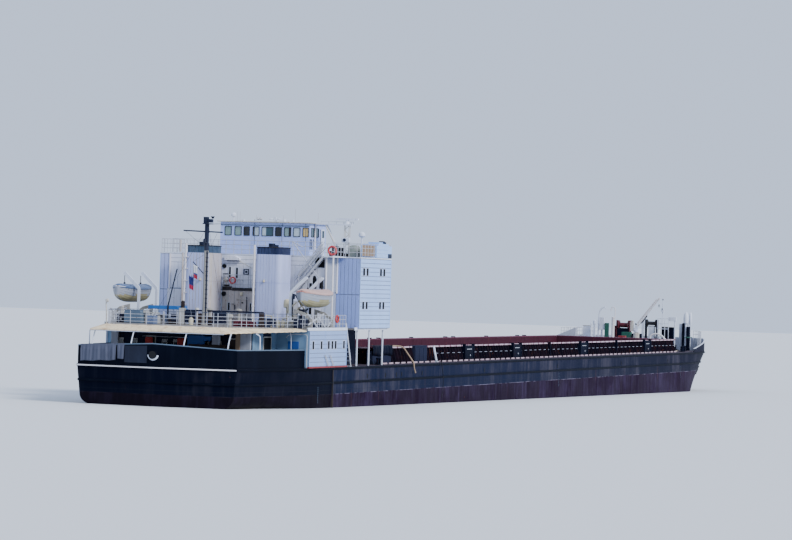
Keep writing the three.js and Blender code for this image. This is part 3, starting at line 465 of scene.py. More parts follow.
# Each row: clean and stain colours, streaks, patches, fineness, gloss, then rust, rust
# size and metal
paintTable = {
    "whiteWall": ("B0C1F4", "8E8C98", 0.35, 0.22, 34, 0.42, 0.12),
    "whiteTrim": ("DDE4F4", "948E92", 0.3, 0.3, 70, 0.4, 0.22),
    "oldWhite": ("CFCEC9", "8B7660", 0.5, 0.5, 60, 0.5, 0.38),
    "deckPaint": ("83807E", "5A4A40", 0.2, 0.6, 40, 0.6, 0.35),
    "skirtTan": ("F2DEBC", "9A7654", 0.3, 0.75, 120, 0.6, 0.42, 90),
    "funnelGrey": ("3A5068", "6A7688", 0.4, 0.4, 50, 0.5),
    "funnelNavy": ("1E2748", "4A5678", 0.35, 0.35, 50, 0.45),
    "navyBox": ("080D1F", "1C2134", 0.4, 0.45, 60, 0.55, 0.2),
    "coamingOuter": ("1C1826", "3A2530", 0.5, 0.5, 60, 0.6, 0.35),
    "lipDark": ("6E3C52", "4A2A38", 0.3, 0.5, 70, 0.6, 0.3),
    # A darker copy of the fresh white for the side houses' planks: painted shade.
    "sideWhite": ("93AEDE", "8A8E9A", 0.3, 0.2, 34, 0.42, 0.1),
    "sideDeck": ("4C444E", "342E38", 0.2, 0.6, 40, 0.7, 0.25),
    "slatePanel": ("1A2032", "2A3042", 0.5, 0.5, 40, 0.6),
    "bulwarkInner": ("B4B9C8", "7C7A80", 0.4, 0.4, 50, 0.55, 0.2),
    "lipPink": ("D2BCC8", "7A5060", 0.2, 0.6, 70, 0.55, 0.45),
    "holdRed": ("46182C", "2E141F", 0.5, 0.5, 40, 0.65, 0.3),
    "redPaint": ("93343A", "55302A", 0.3, 0.4, 80, 0.45, 0.25),
    "beigePaint": ("D8CFB4", "94805F", 0.4, 0.4, 90, 0.45, 0.3),
    "greenPaint": ("2B6153", "3D4A40", 0.3, 0.4, 80, 0.5, 0.2),
    "seaGreen": ("7A9ABA", "6C7C78", 0.35, 0.3, 60, 0.45, 0.15),
    "boardBlue": ("2F5AA8", "3B4F78", 0.2, 0.25, 60, 0.35),
    "railPaint": ("BFC3CE", "8A8078", 0.3, 0.4, 90, 0.4, 0.3),
    "darkRail": ("3C4A63", "5A5A5E", 0.3, 0.3, 90, 0.4),
    "mastBlack": ("101B36", "4A4A4C", 0.3, 0.3, 80, 0.45),
    "darkSteel": ("2E3036", "4E3E36", 0.4, 0.5, 70, 0.5, 0.2, 45, 0.3),
    "boatCream": ("989EAC", "8A8470", 0.3, 0.3, 70, 0.4),
    "boatOrange": ("C98478", "8C5F58", 0.3, 0.45, 80, 0.6),
    "shadowGrey": ("262B40", "211F28", 0.3, 0.4, 60, 0.7),
    "ventDark": ("16181D", "2C2A2A", 0.2, 0.3, 60, 0.7),
    "bronzeMetal": ("A07A3E", "4F5A44", 0.2, 0.5, 70, 0.35, 0, 45, 0.9),
    "tarpGrey": ("565A6C", "2A2C36", 0.4, 0.5, 70, 0.75),
    "orangeRing": ("BE3A34", "8C4A3C", 0.2, 0.3, 90, 0.5),
    "freshWhite": ("A8C9FB", "A0A4B0", 0.22, 0.12, 34, 0.38, 0.05),
    "seamShade": ("8F97AB", "77706A", 0.3, 0.3, 40, 0.6),
    "bulwarkDark": ("060A18", "161B2A", 0.3, 0.15, 30, 0.5),
    "doorBrown": ("3A2E2C", "54443C", 0.3, 0.3, 60, 0.5),
    "buoyRed": ("C0434A", "D8C4C0", 0.1, 0.5, 160, 0.5),
    "ropeDark": ("1A1B22", "3A3836", 0.1, 0.5, 400, 0.8),
    "funnelShell": ("BEC8F2", "85828E", 0.45, 0.35, 30, 0.45, 0.2),
    "lineWhite": ("E9E6EA", "9A8A84", 0.2, 0.35, 50, 0.45, 0.15),
    "shadowBlue": ("68789A", "5A5652", 0.35, 0.4, 60, 0.55, 0.2),
    "canopyBlue": ("2B6BB4", "4A6A94", 0.2, 0.3, 60, 0.5),
    "redDark": ("561A2A", "3A2A2A", 0.3, 0.4, 80, 0.5, 0.3),
    "hoseWhite": ("DDDDD8", "9A938A", 0.2, 0.4, 90, 0.5),
    "bootRed": ("5A2A34", "3C3038", 0.4, 0.5, 60, 0.6),
    # A darker, bluer copy of the white for the starboard tower's aft planks: painted shade.
    "towerAft": ("96AAE6", "7484A8", 0.35, 0.4, 60, 0.45, 0.15),
    "tierWall": ("EEF1FF", "A8A4AA", 0.4, 0.3, 60, 0.5, 0.3),
    # A darker grey-white for the tiers' side planks: painted shade.
    "sideStone": ("A4ABBC", "7E8088", 0.4, 0.45, 60, 0.5, 0.25),
    "stoneWall": ("C6BFBC", "8E8278", 0.5, 0.55, 60, 0.55, 0.4),
    "boatTan": ("A39B78", "6E684C", 0.4, 0.5, 60, 0.5),
    "slotDark": ("0B0E16", "1A1C24", 0.1, 0.2, 60, 0.8),
    "mastStone": ("A19E98", "6E6862", 0.4, 0.5, 50, 0.5, 0.2),
    "canvasGrey": ("868E8A", "66665E", 0.3, 0.5, 90, 0.8),
    "boardTan": ("A08A74", "6E5848", 0.4, 0.5, 60, 0.6),
    "cabinetBlue": ("5E7186", "4C545C", 0.3, 0.35, 60, 0.5),
}
paints = {name: weatheredPaint(name, *looks) for name, looks in paintTable.items()}

# The colour slot named for each paint, looked up for a piece that names no other
slotPaints = {
    "beige_paint": ("beigePaint", "curtainYellow", "paleGlass", "stoneWall"),
    "navy_paint": ("boardBlue", "canopyBlue", "doorBrown", "navyBox", "slatePanel", "funnelGrey",
                   "funnelNavy"),
    "rail_steel": ("boardTan", "cabinetBlue", "darkRail", "darkSteel", "railPaint", "shadowBlue"),
    "hull_paint": ("bulwarkDark", "bulwarkInner", "sideDeck", "tarpGrey", "hullSides"),
    "red_paint": ("buoyRed", "orangeRing", "redDark", "redPaint"),
    "coaming_paint": ("coamingOuter", "holdRed", "lipDark", "lipPink"),
    "mast_paint": ("darkGlass", "mastBlack", "mastStone", "shadowGrey", "slotDark", "ventDark",
                   "wheelGlass", "greenGlass", "mistGlass"),
    "tan_paint": ("deckPaint", "skirtTan"),
    "white_paint": ("freshWhite", "funnelShell", "greenPaint", "lineWhite", "oldWhite", "seaGreen",
                    "sideStone", "sideWhite", "tierWall", "whiteTrim", "whiteWall", "towerAft"),
    "hose_rubber": ("hoseWhite",),
}
usualSlots = {paint: slot for slot, group in slotPaints.items() for paint in group}


# Hull side: near-black stern, slate middle, browner bow, red boot-top under a thin pale line
hullColours = {"stern": "060A1A", "middle": "121A34", "bow": "0D0E24", "boot": "1E1024",
               "bootBow": "24142A", "line": "8C869C", "grime": "45434E", "middleFrom": 1500,
               "bowFrom": 10500, "bootTop": 350, "lineWidth": 3.2}


def hullMaterial():
    made, tree, shader = newMaterial("hullSides", **{"Specular IOR Level": 0.02})
    stern, middle, bow, boot, bootBow, line = (shade(hullColours[key]) for key in (
        "stern", "middle", "bow", "boot", "bootBow", "line"))
    x, _, z = axesOf(tree, objectPlace(tree))
    middleAt = hullColours["middleFrom"] / 1000 - sternToMiddle
    bowAt = hullColours["bowFrom"] / 1000 - sternToMiddle
    toMiddle = spread(tree, x, middleAt - 0.02, middleAt + 0.02)
    toBow = spread(tree, x, bowAt - 5.0, bowAt + 2.5)
    side = mixColour(tree, toBow, mixColour(tree, toMiddle, stern, middle), bow)
    weather = weathered(tree, side, hullColours["grime"], 0.95, 0.6, 22.0, 0.5)
    calm = times(tree, mathNode(tree, "SUBTRACT", 1.0, toMiddle), 0.8)
    painted = mixColour(tree, calm, weather["Color"], side)
    boot = mixColour(tree, times(tree, calm, 0.8), mixColour(tree, toBow, boot, bootBow),
                     shade("120E16"))
    worn = weathered(tree, boot, "3A2F4A", 0.7, 0.5, 30.0, 0.6)
    # Towards the stern the boot-top is darkened further, to near black.
    darkerAftBoot = mixColour(tree, times(tree, calm, 0.9), worn["Color"], shade("0F0C14"))
    top, thickness = hullColours["bootTop"] / 1000, hullColours["lineWidth"] / 1000
    below = mathNode(tree, "LESS_THAN", z, top)
    painted = mixColour(tree, below, painted, darkerAftBoot)
    onLine = times(tree, mathNode(tree, "GREATER_THAN", z, top - thickness), below)
    faded = times(tree, onLine, spread(tree, noise(tree, (1, 1, 4), 9.0, 5.0), 0.42, 0.6))
    faded = times(tree, faded, mathNode(tree, "ADD", times(tree, toMiddle, 0.7), 0.05))
    painted = mixColour(tree, faded, painted, line)
    seams = placeGroup(tree, seamGroup, {"Along": 0.62, "Up": 0.19, "Width": 0.0035})["Mask"]
    painted = mixColour(tree, times(tree, seams, 0.3), painted, shade("20232B"))
    rusted = placeGroup(tree, rustGroup, {"Under": painted, "Amount": 0.05, "Size": 22.0})["Color"]
    tree.links.new(rusted, shader.inputs["Base Color"])
    tree.links.new(weather["Roughness"], shader.inputs["Roughness"])
    raised = mathNode(tree, "SUBTRACT", weather["Height"], times(tree, seams, 0.4))
    addBump(tree, shader, raised, 0.3, 0.006)
    return made


paints["hullSides"] = hullMaterial()
for matt in ("bulwarkDark", "navyBox", "shadowGrey", "sideDeck", "coamingOuter"):
    nodes = paints[matt].node_tree.nodes
    nodes["Principled BSDF"].inputs["Specular IOR Level"].default_value = 0.03


# Glass: smooth, with a little dust under a clear coat
def glassMaterial(name, colour, rough):
    made, tree, shader = newMaterial(name, Metallic=0.0)
    dust = weathered(tree, colour, "7A8086", 0.2, 0.15, 60.0, rough)
    tree.links.new(dust["Color"], shader.inputs["Base Color"])
    tree.links.new(dust["Roughness"], shader.inputs["Roughness"])
    shader.inputs["Coat Weight"].default_value = 0.6
    return made


# The pale glass stands in for sky reflected in the panes: painted reflection.
for name, colour, rough in (("darkGlass", "10151F", 0.12), ("wheelGlass", "2F4E5A", 0.1),
                            ("greenGlass", "7E9694", 0.15), ("mistGlass", "B4C3CC", 0.15),
                            ("paleGlass", "D8B878", 0.2)):
    paints[name] = glassMaterial(name, colour, rough)


# Cloth: a fine over-and-under weave on the piece's own map, or on object places where it has none
def buildWeaveGroup():
    tree, given, out = newGroup("clothWeave",
                                [("Vector", "Vector", (0, 0, 0)), ("Threads", "Float", 400.0)],
                                [("Height", "Float")])
    split = axesOf(tree, given["Vector"])
    waves = [mathNode(tree, "SINE", times(tree, split[k], given["Threads"])) for k in (0, 1)]
    tree.links.new(times(tree, *waves), out["Height"])
    return tree


weaveGroup = buildWeaveGroup()


# A cloth in level stripes: each row is where a stripe ends, from 0 at the foot to 1 at the
# head, and its colour
def clothMaterial(name, stripes, threads, mapped):
    made, tree, shader = newMaterial(name)
    coordinates = addNode(tree, "ShaderNodeTexCoord").outputs["UV" if mapped else "Object"]
    height = axesOf(tree, coordinates)[1]
    colour = shade(stripes[-1][1])
    for end, code in stripes[-2::-1]:
        colour = mixColour(tree, mathNode(tree, "LESS_THAN", height, end), colour, shade(code))
    weather = weathered(tree, colour, "8A8480", 0.2, 0.3, 120.0, 0.75)
    tree.links.new(weather["Color"], shader.inputs["Base Color"])
    tree.links.new(weather["Roughness"], shader.inputs["Roughness"])
    shader.inputs["Sheen Weight"].default_value = 0.25
    weave = placeGroup(tree, weaveGroup, {"Vector": coordinates, "Threads": threads})
    addBump(tree, shader, weave["Height"], 0.4, 0.0006)
    return made


for name, stripes, threads, mapped in (
        ("sternFlagCloth", [(0.3, "C8324E"), (0.42, "3A4FA0"), (1.0, "F0F2F8")], 380.0, True),
        ("houseFlagCloth", [(0.3, "D0285A"), (0.86, "262F86"), (1.0, "A8B0D8")], 380.0, True),
        ("curtainYellow", [(1.0, "D9B878")], 2600.0, False),
        # A dark blue copy of the boat cover cloth: painted shade.
        ("boatCoverBlue", [(1.0, "4C6690")], 1900.0, False),
        ("boatCoverCloth", [(1.0, "C9A49C")], 1900.0, False)):
    paints[name] = clothMaterial(name, stripes, threads, mapped)


# Stage: pale water-level floor, soft sky and one broad sun from the starboard side
stageLooks = {"floor": "D9DCE0", "reach": 400.0, "waterAtStern": 0.262, "trim": 0.0107,
              "opening": (-4.2, 5.41, 0.7), "sky": "C6D6F2", "skyPower": 1.3, "sunPower": 3.6,
              "sunFrom": (-0.3, -0.8, 0.6), "sunSpread": 16}


def addStage():
    reach, trim = stageLooks["reach"], stageLooks["trim"]
    corners = np.array([(-1, -1), (1, -1), (1, 1), (-1, 1)]) * reach
    low, high, wide = stageLooks["opening"]
    corners = np.vstack([corners, [(low, -wide), (high, -wide), (high, wide), (low, wide)]])
    level = stageLooks["waterAtStern"] - trim * (corners[:, 0] + sternToMiddle)
    mesh = bpy.data.meshes.new("waterFloor")
    mesh.from_pydata(np.column_stack([corners, level]).tolist(), [],
                     [(0, 1, 5, 4), (1, 2, 6, 5), (2, 3, 7, 6), (3, 0, 4, 7)])
    floor = linked("waterFloor", mesh)
    made, _, shader = newMaterial("paleFloor", Roughness=0.85)
    shader.inputs["Base Color"].default_value = shade(stageLooks["floor"])
    mesh.materials.append(made)
    world = bpy.data.worlds.new("softSky")
    world.use_nodes = True
    sky = world.node_tree.nodes["Background"]
    sky.inputs["Color"].default_value = shade(stageLooks["sky"])
    sky.inputs["Strength"].default_value = stageLooks["skyPower"]
    bpy.context.scene.world = world
    lamp = bpy.data.lights.new("broadSun", "SUN")
    lamp.energy = stageLooks["sunPower"]
    lamp.angle = math.radians(stageLooks["sunSpread"])
    sun = linked("broadSun", lamp)
    back = np.array(stageLooks["sunFrom"]) / np.linalg.norm(stageLooks["sunFrom"])
    side = np.cross([0, 0, 1.0], back)
    side /= np.linalg.norm(side)
    standAt(sun, side, np.cross(back, side), back)


addStage()
print("camera, stage and materials ready")


# Hull lines, in ship millimetres
hullLines = {"stern": 4, "transomHalf": 628, "half": 825, "deck": 550, "bowFrom": 12350,
             "stem": 13820, "holdAft": 2800, "holdFore": 12250, "holdHalf": 640, "holdFloor": 90,
             "transom": 80, "fullFrom": 1500}


# Half breadth of the deck: a straight raked transom, a quarter sine, then a blunt power
# curve at the bow
def deckHalf(x):
    x = np.asarray(x, float)
    lines = hullLines
    wide, corner, transom, full = (lines[key]
                                   for key in ("half", "transomHalf", "transom", "fullFrom"))
    aft = (corner + (wide - corner) * np.sin(np.pi / 2
                                             * np.clip((x - transom) / (full - transom), 0, 1)))
    share = np.clip((x - lines["bowFrom"]) / (lines["stem"] - lines["bowFrom"]), 0, 1)
    fore = np.maximum(10, wide * np.sqrt(np.maximum(0, 1 - share**3.7)))
    raked = 15 + (corner - 15) * np.clip((x - lines["stern"]) / (transom - lines["stern"]), 0, 1)
    return np.where(x < transom, raked, np.where(x < full, aft, fore))


# At each station: the half breadths of deck, side and flat bottom, then the heights of
# keel and bilge
def hullFrame(x):
    x = np.asarray(x, float)
    bow = np.clip((x - hullLines["bowFrom"]) / (hullLines["stem"] - hullLines["bowFrom"]), 0, 1)
    stern = np.clip((2000 - x) / 1500, 0, 1)
    deck = deckHalf(x)
    side = deck * (1 - 0.42 * bow - 0.04 * stern)
    flat = np.maximum(3, side * (1 - 0.55 * bow**2 - 0.15 * stern) - 80 * (1 - bow) * (1 - stern))
    keel = 260 * stern**2 * (3 - 2 * stern) + 380 * bow**6
    return deck, side, flat, keel, keel + 80 + 20 * bow


def hullHalf(x, z):
    deck, side, _, _, turn = hullFrame(x)
    return side + (deck - side) * (z - turn) / (hullLines["deck"] - turn)


def hullStations():
    start, length = hullLines["bowFrom"], hullLines["stem"] - hullLines["bowFrom"]
    bow = start + length * (1 - (1 - np.linspace(0, 1, 34)) ** 2)
    return np.concatenate([[4, 30, 55, 80], np.arange(130, 2000, 60), np.arange(2000, 12350, 230),
                           bow])


# The outside: at each station a straight side down to the turn, then a quarter ellipse to
# the flat bottom
def buildHull():
    x, lines = hullStations(), hullLines
    deck, side, flat, keel, turn = (value[:, None] for value in hullFrame(x))
    down = np.array([0, 0.25, 0.5, 0.75])[None, :]
    sideY, sideZ = deck + (side - deck) * down, lines["deck"] + (turn - lines["deck"]) * down
    bend = np.linspace(0, np.pi / 2, 7)[None, :]
    bilgeY, bilgeZ = flat + (side - flat) * np.cos(bend), turn + (keel - turn) * np.sin(bend)
    y, z = np.hstack([sideY, bilgeY]), np.hstack([sideZ, bilgeZ])
    y, z = np.hstack([y, -y[:, ::-1]]), np.hstack([z, z[:, ::-1]])
    skin = gridShape(np.stack([x[:, None] + 0 * y, y, z], axis=-1), capU=True, flip=True)

    def deckStrip(xs, inner, outer):
        rows = [np.stack([xs, edge + 0 * xs, 0 * xs + lines["deck"]], axis=1)
                for edge in (inner, outer)]
        return gridShape(np.stack(rows, axis=1))

    aft, fore = x[x < lines["holdAft"]], x[x > lines["holdFore"]]
    aft, fore = np.append(aft, lines["holdAft"]), np.insert(fore, 0, lines["holdFore"])
    middle = np.linspace(lines["holdAft"], lines["holdFore"], 42)
    half = lines["holdHalf"]
    decks = [deckStrip(aft, deckHalf(aft), -deckHalf(aft)),
             deckStrip(fore, deckHalf(fore), -deckHalf(fore)),
             deckStrip(middle, deckHalf(middle), half), deckStrip(middle, -half, -deckHalf(middle))]
    addPiece("hull_shell", [skin], "hullSides", replaces="hull")
    addPiece("weather_decks", decks, "sideDeck")


# The hold's inside: smooth floor and walls with a frame standing in every bay
holdLooks = {"framePitch": 117.5, "frameDepth": 11, "frameWidth": 6, "stringers": [220, 350, 480]}


def buildHold():
    lines = hullLines
    aft, fore, half, floor, top = (lines[key]
                                   for key in ("holdAft", "holdFore", "holdHalf", "holdFloor",
                                               "deck"))
    gap = 0.6
    corners = np.array([(aft + gap, gap - half), (fore - gap, gap - half), (fore - gap, half - gap),
                        (aft + gap, half - gap)])
    rings = np.stack([np.column_stack([corners, np.full(4, z)]) for z in (floor, 682.5)])
    walls = gridShape(rings, loopV=True)
    bottom = (rings[0], [np.array([[0, 1, 2, 3]])])
    xs = np.arange(aft + 60, fore - 30, holdLooks["framePitch"])
    depth, width = holdLooks["frameDepth"], holdLooks["frameWidth"]
    frames = [boxes([[x, x + width, half - depth, half, floor, top] for x in xs]),
              boxes([[x, x + width, -half, -half + depth, floor, top] for x in xs])]
    ends = [boxes([[aft, aft + depth, y, y + width, floor, top]
                   for y in np.arange(-560, 600, 112)]),
            boxes([[fore - depth, fore, y, y + width, floor, top]
                   for y in np.arange(-560, 600, 112)])]
    long = [boxes([[aft, fore, s * half - (s > 0) * 7, s * half + (s < 0) * 7, z, z + 6]
                   for z in holdLooks["stringers"]
                   for s in (1, -1)])]
    addPiece("hold_lining", [walls, bottom, *frames, *ends, *long], "holdRed")


# Strakes: their two heights, and the transom corner that their line turns at
strakeLooks = {"upper": 541, "lower": 435, "inset": 0.5, "fore": 13790, "corner": (11.2, 34),
               "clear": 62}


# Plan line of the hull at one height, from the port bow round the transom to the starboard bow
def hullLoop(z):
    x = hullStations()
    x = x[x <= strakeLooks["fore"]]
    half = hullHalf(x, z) - strakeLooks["inset"]
    port = np.column_stack([x, half, np.full(len(x), z)])
    cornerX, cornerY = strakeLooks["corner"]
    port = np.vstack([[[cornerX, cornerY, z]], port[port[:, 1] > strakeLooks["clear"]]])
    return np.vstack([port[::-1], [[cornerX, 0, z]], port * [1, -1, 1]])


# Keeps a shape's points from passing aft of a given place
def cutAft(shape, low):
    points, faces = shape
    return np.maximum(points, [low, -1e9, -1e9]), faces


def buildStrakes():
    bead = [(0, -8), (7, -8), (10.5, -4), (10.5, 4), (7, 8), (0, 8)]
    shapes = [cutAft(swept(bead, hullLoop(strakeLooks[row])), 0.2) for row in ("upper", "lower")]
    # The strakes take near-black paint: painted shade standing in for the dark line under each
    # strake.
    addPiece("rubbing_strakes_painted_shade", shapes, "bulwarkDark")
    loop = hullLoop(strakeLooks["upper"])
    line = loop[loop[:, 0] < 95]
    band = [(6, -4.5), (11.6, -4.5), (11.6, 4.5), (6, 4.5)]
    addPiece("transom_white_strake", [cutAft(swept(band, line), -0.5)], "lineWhite")
    fenders = [boxes([[1492, 1500, *across(s, 815, 834), 230, 532]]) for s in (1, -1)]
    addPiece("side_fenders", fenders, "darkSteel", slot="hull_paint", bevel=0.002)
    slots = [[x - 7, x + 7, -827.5, -824.5, 456, 490]
             for x in (2260, 2680, 2935, 3060, 3560, 5200, 7400, 9600, 11400)]
    slots += [[a, b, -d, -c, e, f] for a, b, c, d, e, f in slots]
    addPiece("freeing_scuppers", [boxes(slots)], "ventDark", slot="hull_paint")
    marks = [[x, x + 6, s * 826 - 1.5, s * 826 + 1.5, z, z + 4] for x in (1190, 7450, 11950)
             for s in (1, -1)
             for z in range(290, 410, 14)]
    addPiece("draught_ticks", [boxes(marks)], "cabinetBlue", slot="white_paint")


# Coaming: outer plate, turned-over lip, close rows of knees and dark lockers
coamingLooks = {"wall": 12, "lipOut": 34, "lipDeep": 11, "top": 685, "kneePitch": 75,
                "kneeFoot": 61, "railHeight": 622, "panels": [5170, 6550, 8715, 11065],
                "panelLength": 245, "posts": [7583, 9890]}


def buildCoaming():
    looks, lines = coamingLooks, hullLines
    aft, fore, half, top = lines["holdAft"], lines["holdFore"], lines["holdHalf"], looks["top"]
    base = levels["mainDeck"]

    def ringOf(profile):
        grow = np.array([offset for offset, _ in profile])
        rows = []
        for sx, sy in ((-1, -1), (1, -1), (1, 1), (-1, 1)):
            endX = np.where(sx > 0, fore, aft) + sx * grow
            rows.append(np.column_stack([endX, sy * (half + grow), [z for _, z in profile]]))
        return gridShape(np.stack(rows), loopU=True, loopV=True)

    wall = looks["wall"]
    addPiece("coaming_plate", [ringOf([(0, base), (0, top - 3), (wall, top - 3), (wall, base)])],
             "coamingOuter", replaces="hold_coaming")
    out, deep = looks["lipOut"], looks["lipDeep"]
    lip = [(-1.5, top - 9), (-1.5, top), (out, top), (out + 1, top - 3), (out + 1, top - deep),
           (out - 3, top - deep), (out - 3, top - 5), (0, top - 6)]
    addPiece("coaming_lip", [ringOf(lip)], "lipDark")
    edges = [[x, x + 122, *across(s, half + out - 3, half + out + 2.2), top - deep + 1, top + 0.8]
             for x in np.arange(aft - 20, fore - 70, 150) for s in (1, -1)]
    edges += [[x - 2.2, x + 3, y, y + 118, top - deep + 1, top + 0.8]
              for x in (aft - out, fore + out) for y in np.arange(-660, 600, 150)]
    addPiece("coaming_lip_edge", [boxes(edges)], "lipPink")
    foot = looks["kneeFoot"]
    knees, rails, bars = [], [], []
    outline = np.array([[wall - 1, base], [foot, base], [foot, base + 10], [out - 4, top - 8],
                        [wall - 1, top - 8]])
    for s in (1, -1):
        xs = np.arange(aft + 25, fore - 10, looks["kneePitch"])
        knee = np.stack([np.column_stack([xs + dx, 0 * xs, 0 * xs]) for dx in (-2.5, 2.5)], axis=1)
        points = (knee[:, :, None] + np.column_stack([0 * outline[:, 0], s * (half + outline[:, 0]),
                                                      outline[:, 1]]))
        k = np.arange(5)
        quads = np.stack([k, (k + 1) % 5, (k + 1) % 5 + 5, k + 5], axis=1)
        caps = np.stack([k[::-1], k + 5])
        start = np.arange(len(xs))[:, None, None] * 10
        faces = [(start + quads).reshape(-1, 4), (start + caps).reshape(-1, 5)]
        if s > 0:
            faces = [group[:, ::-1] for group in faces]
        knees.append((points.reshape(-1, 3), faces))
        y = s * (half + 44)
        dashes = np.arange(aft + 1500, fore - 100, 148)
        rails.append(rods([[(x, y, looks["railHeight"]), (x + 66, y, looks["railHeight"])]
                           for x in dashes], 2.0))
        edge = s * (half + foot + 3)
        bars.append(boxes([[x, x + 96, *sorted((edge, edge + s * 5)), base, base + 11]
                           for x in np.arange(aft - 10, fore - 60, 148)]))
    addPiece("coaming_knees", knees, "coamingOuter")
    addPiece("coaming_mid_rail", rails, "bulwarkInner", slot="coaming_paint")
    addPiece("coaming_foot_bar", bars, "lipPink")
    panels, marks, posts = [], [], []
    long = looks["panelLength"] / 2
    for s in (1, -1):
        for x in looks["panels"]:
            y0, y1 = across(s, half + wall, half + 57)
            panels.append([x - long, x + long, y0, y1, base, top - 4])
            for end in (-long - 6, long - 8):
                posts.append([x + end, x + end + 14, *across(s, half + 20, half + 62), base,
                              top + 9])
            face = s * (half + 57.5)
            for dx, dz, wide, tall in ((-70, 96, 130, 5), (20, 40, 12, 12)):
                marks.append([x + dx, x + dx + wide, face - 1.5, face + 1.5, base + dz,
                              base + dz + tall])
        for x in looks["posts"]:
            posts.append([x - 7, x + 7, *across(s, half + 20, half + 60), base, top + 9])
    addPiece("coaming_lockers", [boxes(panels), boxes(posts)], "navyBox", bevel=0.0015)
    addPiece("locker_marks", [boxes(marks)], "railPaint", slot="white_paint")


# A tarpaulin-covered store and a plain steel locker on the starboard side deck
sideStores = {"store": (2712, 3164, -702, -646, 551, 697),
              "locker": (3725, 4022, -702, -646, 551, 690)}


def buildSideStores():
    x0, x1, y0, y1, z0, z1 = sideStores["store"]
    addPiece("side_store_body", [boxes([[x0 + 6, x1 - 6, y0 + 5, y1, z0, z1 - 40]])], "shadowGrey",
             slot="navy_paint")
    line = np.array([(y0 - 1, z1 - 78), (y0 - 2, z1 - 50), (y0 - 1.5, z1 - 22), (y0 + 3, z1 - 4),
                     (y0 + 14, z1 + 0.5), (y0 + 30, z1 + 2), (y1 - 6, z1 + 0.5), (y1 + 2, z1 - 3)])
    u, v = crossed(np.linspace(x0, x1, 70), np.linspace(0, 1, len(line)))
    sag = 2.2 * np.sin(u / 31.0) * np.sin(np.pi * v) + 1.6 * np.sin(u / 11.0 + 1.3) * (1 - v)
    hem = 5 * np.sin(u / 47.0) * (1 - v) ** 3
    points = np.stack([u, line[:, 0] - sag, line[:, 1] + hem + 0.3 * sag], axis=-1)
    cover = addPiece("store_tarpaulin", [gridShape(points, flip=True)], "navyBox", crease=70)
    thicken(cover, 0.0015)
    a0, a1, b0, b1, c0, c1 = sideStores["locker"]
    body = [boxes([[a0, a1, b0, b1, c0, c1]]),
            boxes([[a0 - 3, a1 + 3, b0 - 2, b1, c1 - 12, c1 + 1]])]
    doors = boxes([[a0 + 12 + k * 99, a0 + 100 + k * 99, b0 - 3, b0 + 2, c0 + 14, c1 - 20]
                   for k in range(3)])
    addPiece("deck_locker", body + [doors], "shadowGrey", slot="rail_steel", bevel=0.0015)
    slant = [rods([[(4278, -702, 553), (4266, -676, 684)]], 10, 10),
             boxes([[4262, 4296, -714, -690, 550.5, 556]])]
    addPiece("slanted_post", slant, "whiteTrim")
    turn = np.linspace(0, 2 * np.pi, 13)[:-1]
    ring = [(3180, -686 + 9 * math.cos(a), 691 + 9 * math.sin(a)) for a in turn]
    clamp = [boxes([[3173, 3186, -698, -660, 678, 701]]),
             tube(ring, 2.5, 6, guide=(1, 0, 0), loop=True)]
    addPiece("hose_clamp", clamp, "darkSteel", slot="bare_steel")


buildHull()
buildHold()
buildStrakes()
buildCoaming()
buildSideStores()
print("hull, hold and coaming done")


# Planks laid edge to edge over a wall, with a dark gap between neighbours: axis is the one
# the wall faces along
def planks(axis, at, out, span, low, high, pitch, standing=False, gap=4.0, proud=3.0):
    first, last = span if standing else (low, high)
    count = max(1, round((last - first) / pitch))
    edges = np.linspace(first, last, count + 1)
    a, b = edges[:-1] + gap / 2, edges[1:] - gap / 2
    fill = np.ones(count)
    near, far = sorted((at, at + out * proud))
    level = (span[0] * fill, span[1] * fill, a, b)
    lengths = (a, b, low * fill, high * fill) if standing else level
    plane = (near * fill, far * fill)
    order = [*plane, *lengths] if axis == "x" else [*lengths[:2], *plane, *lengths[2:]]
    return boxes(np.column_stack(order))


# A window set on a wall: four bars round a dark pane that stands a little back from them
def framedPanes(axis, at, out, rows, bar=3.0, proud=6.0, pane=3.8):
    bars, panes = [], []
    for a0, a1, z0, z1 in rows:
        for c0, c1, d0, d1 in ((a0 - bar, a0, z0 - bar, z1 + bar),
                               (a1, a1 + bar, z0 - bar, z1 + bar), (a0, a1, z0 - bar, z0),
                               (a0, a1, z1, z1 + bar)):
            near, far = sorted((at, at + out * proud))
            bars.append([near, far, c0, c1, d0, d1] if axis == "x" else [c0, c1, near, far, d0, d1])
        near, far = sorted((at - out, at + out * pane))
        panes.append([near, far, a0, a1, z0, z1] if axis == "x" else [a0, a1, near, far, z0, z1])
    return boxes(bars), boxes(panes)


# Posts at a steady pitch along a plan line with level bars between them
def railRun(path, base, heights, pitch, post=2.6, bar=2.2):
    path = np.asarray(path, float)
    steps = np.diff(path, axis=0)
    reach = np.concatenate([[0], np.cumsum(np.linalg.norm(steps, axis=1))])
    count = max(2, round(reach[-1] / pitch) + 1)
    at = np.union1d(np.linspace(0, reach[-1], count), reach)
    keep = np.concatenate([[True], np.diff(at) > pitch * 0.2])
    at = at[keep]
    x, y = np.interp(at, reach, path[:, 0]), np.interp(at, reach, path[:, 1])
    foot = np.column_stack([x, y, np.full(len(x), base)])
    crown = foot + [0, 0, max(heights)]
    posts = rods(np.stack([foot, crown], axis=1), post)
    bars = []
    for height in heights:
        line = np.column_stack([path, np.full(len(path), base + height)])
        bars.append(rods(np.stack([line[:-1], line[1:]], axis=1), bar))
    return [posts, *bars]


# Repaints a solid of the frame that shows as it is
def restyle(node, *finishes):
    for place, finish in zip(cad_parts[node].material_slots, finishes):
        place.material = paints[finish]


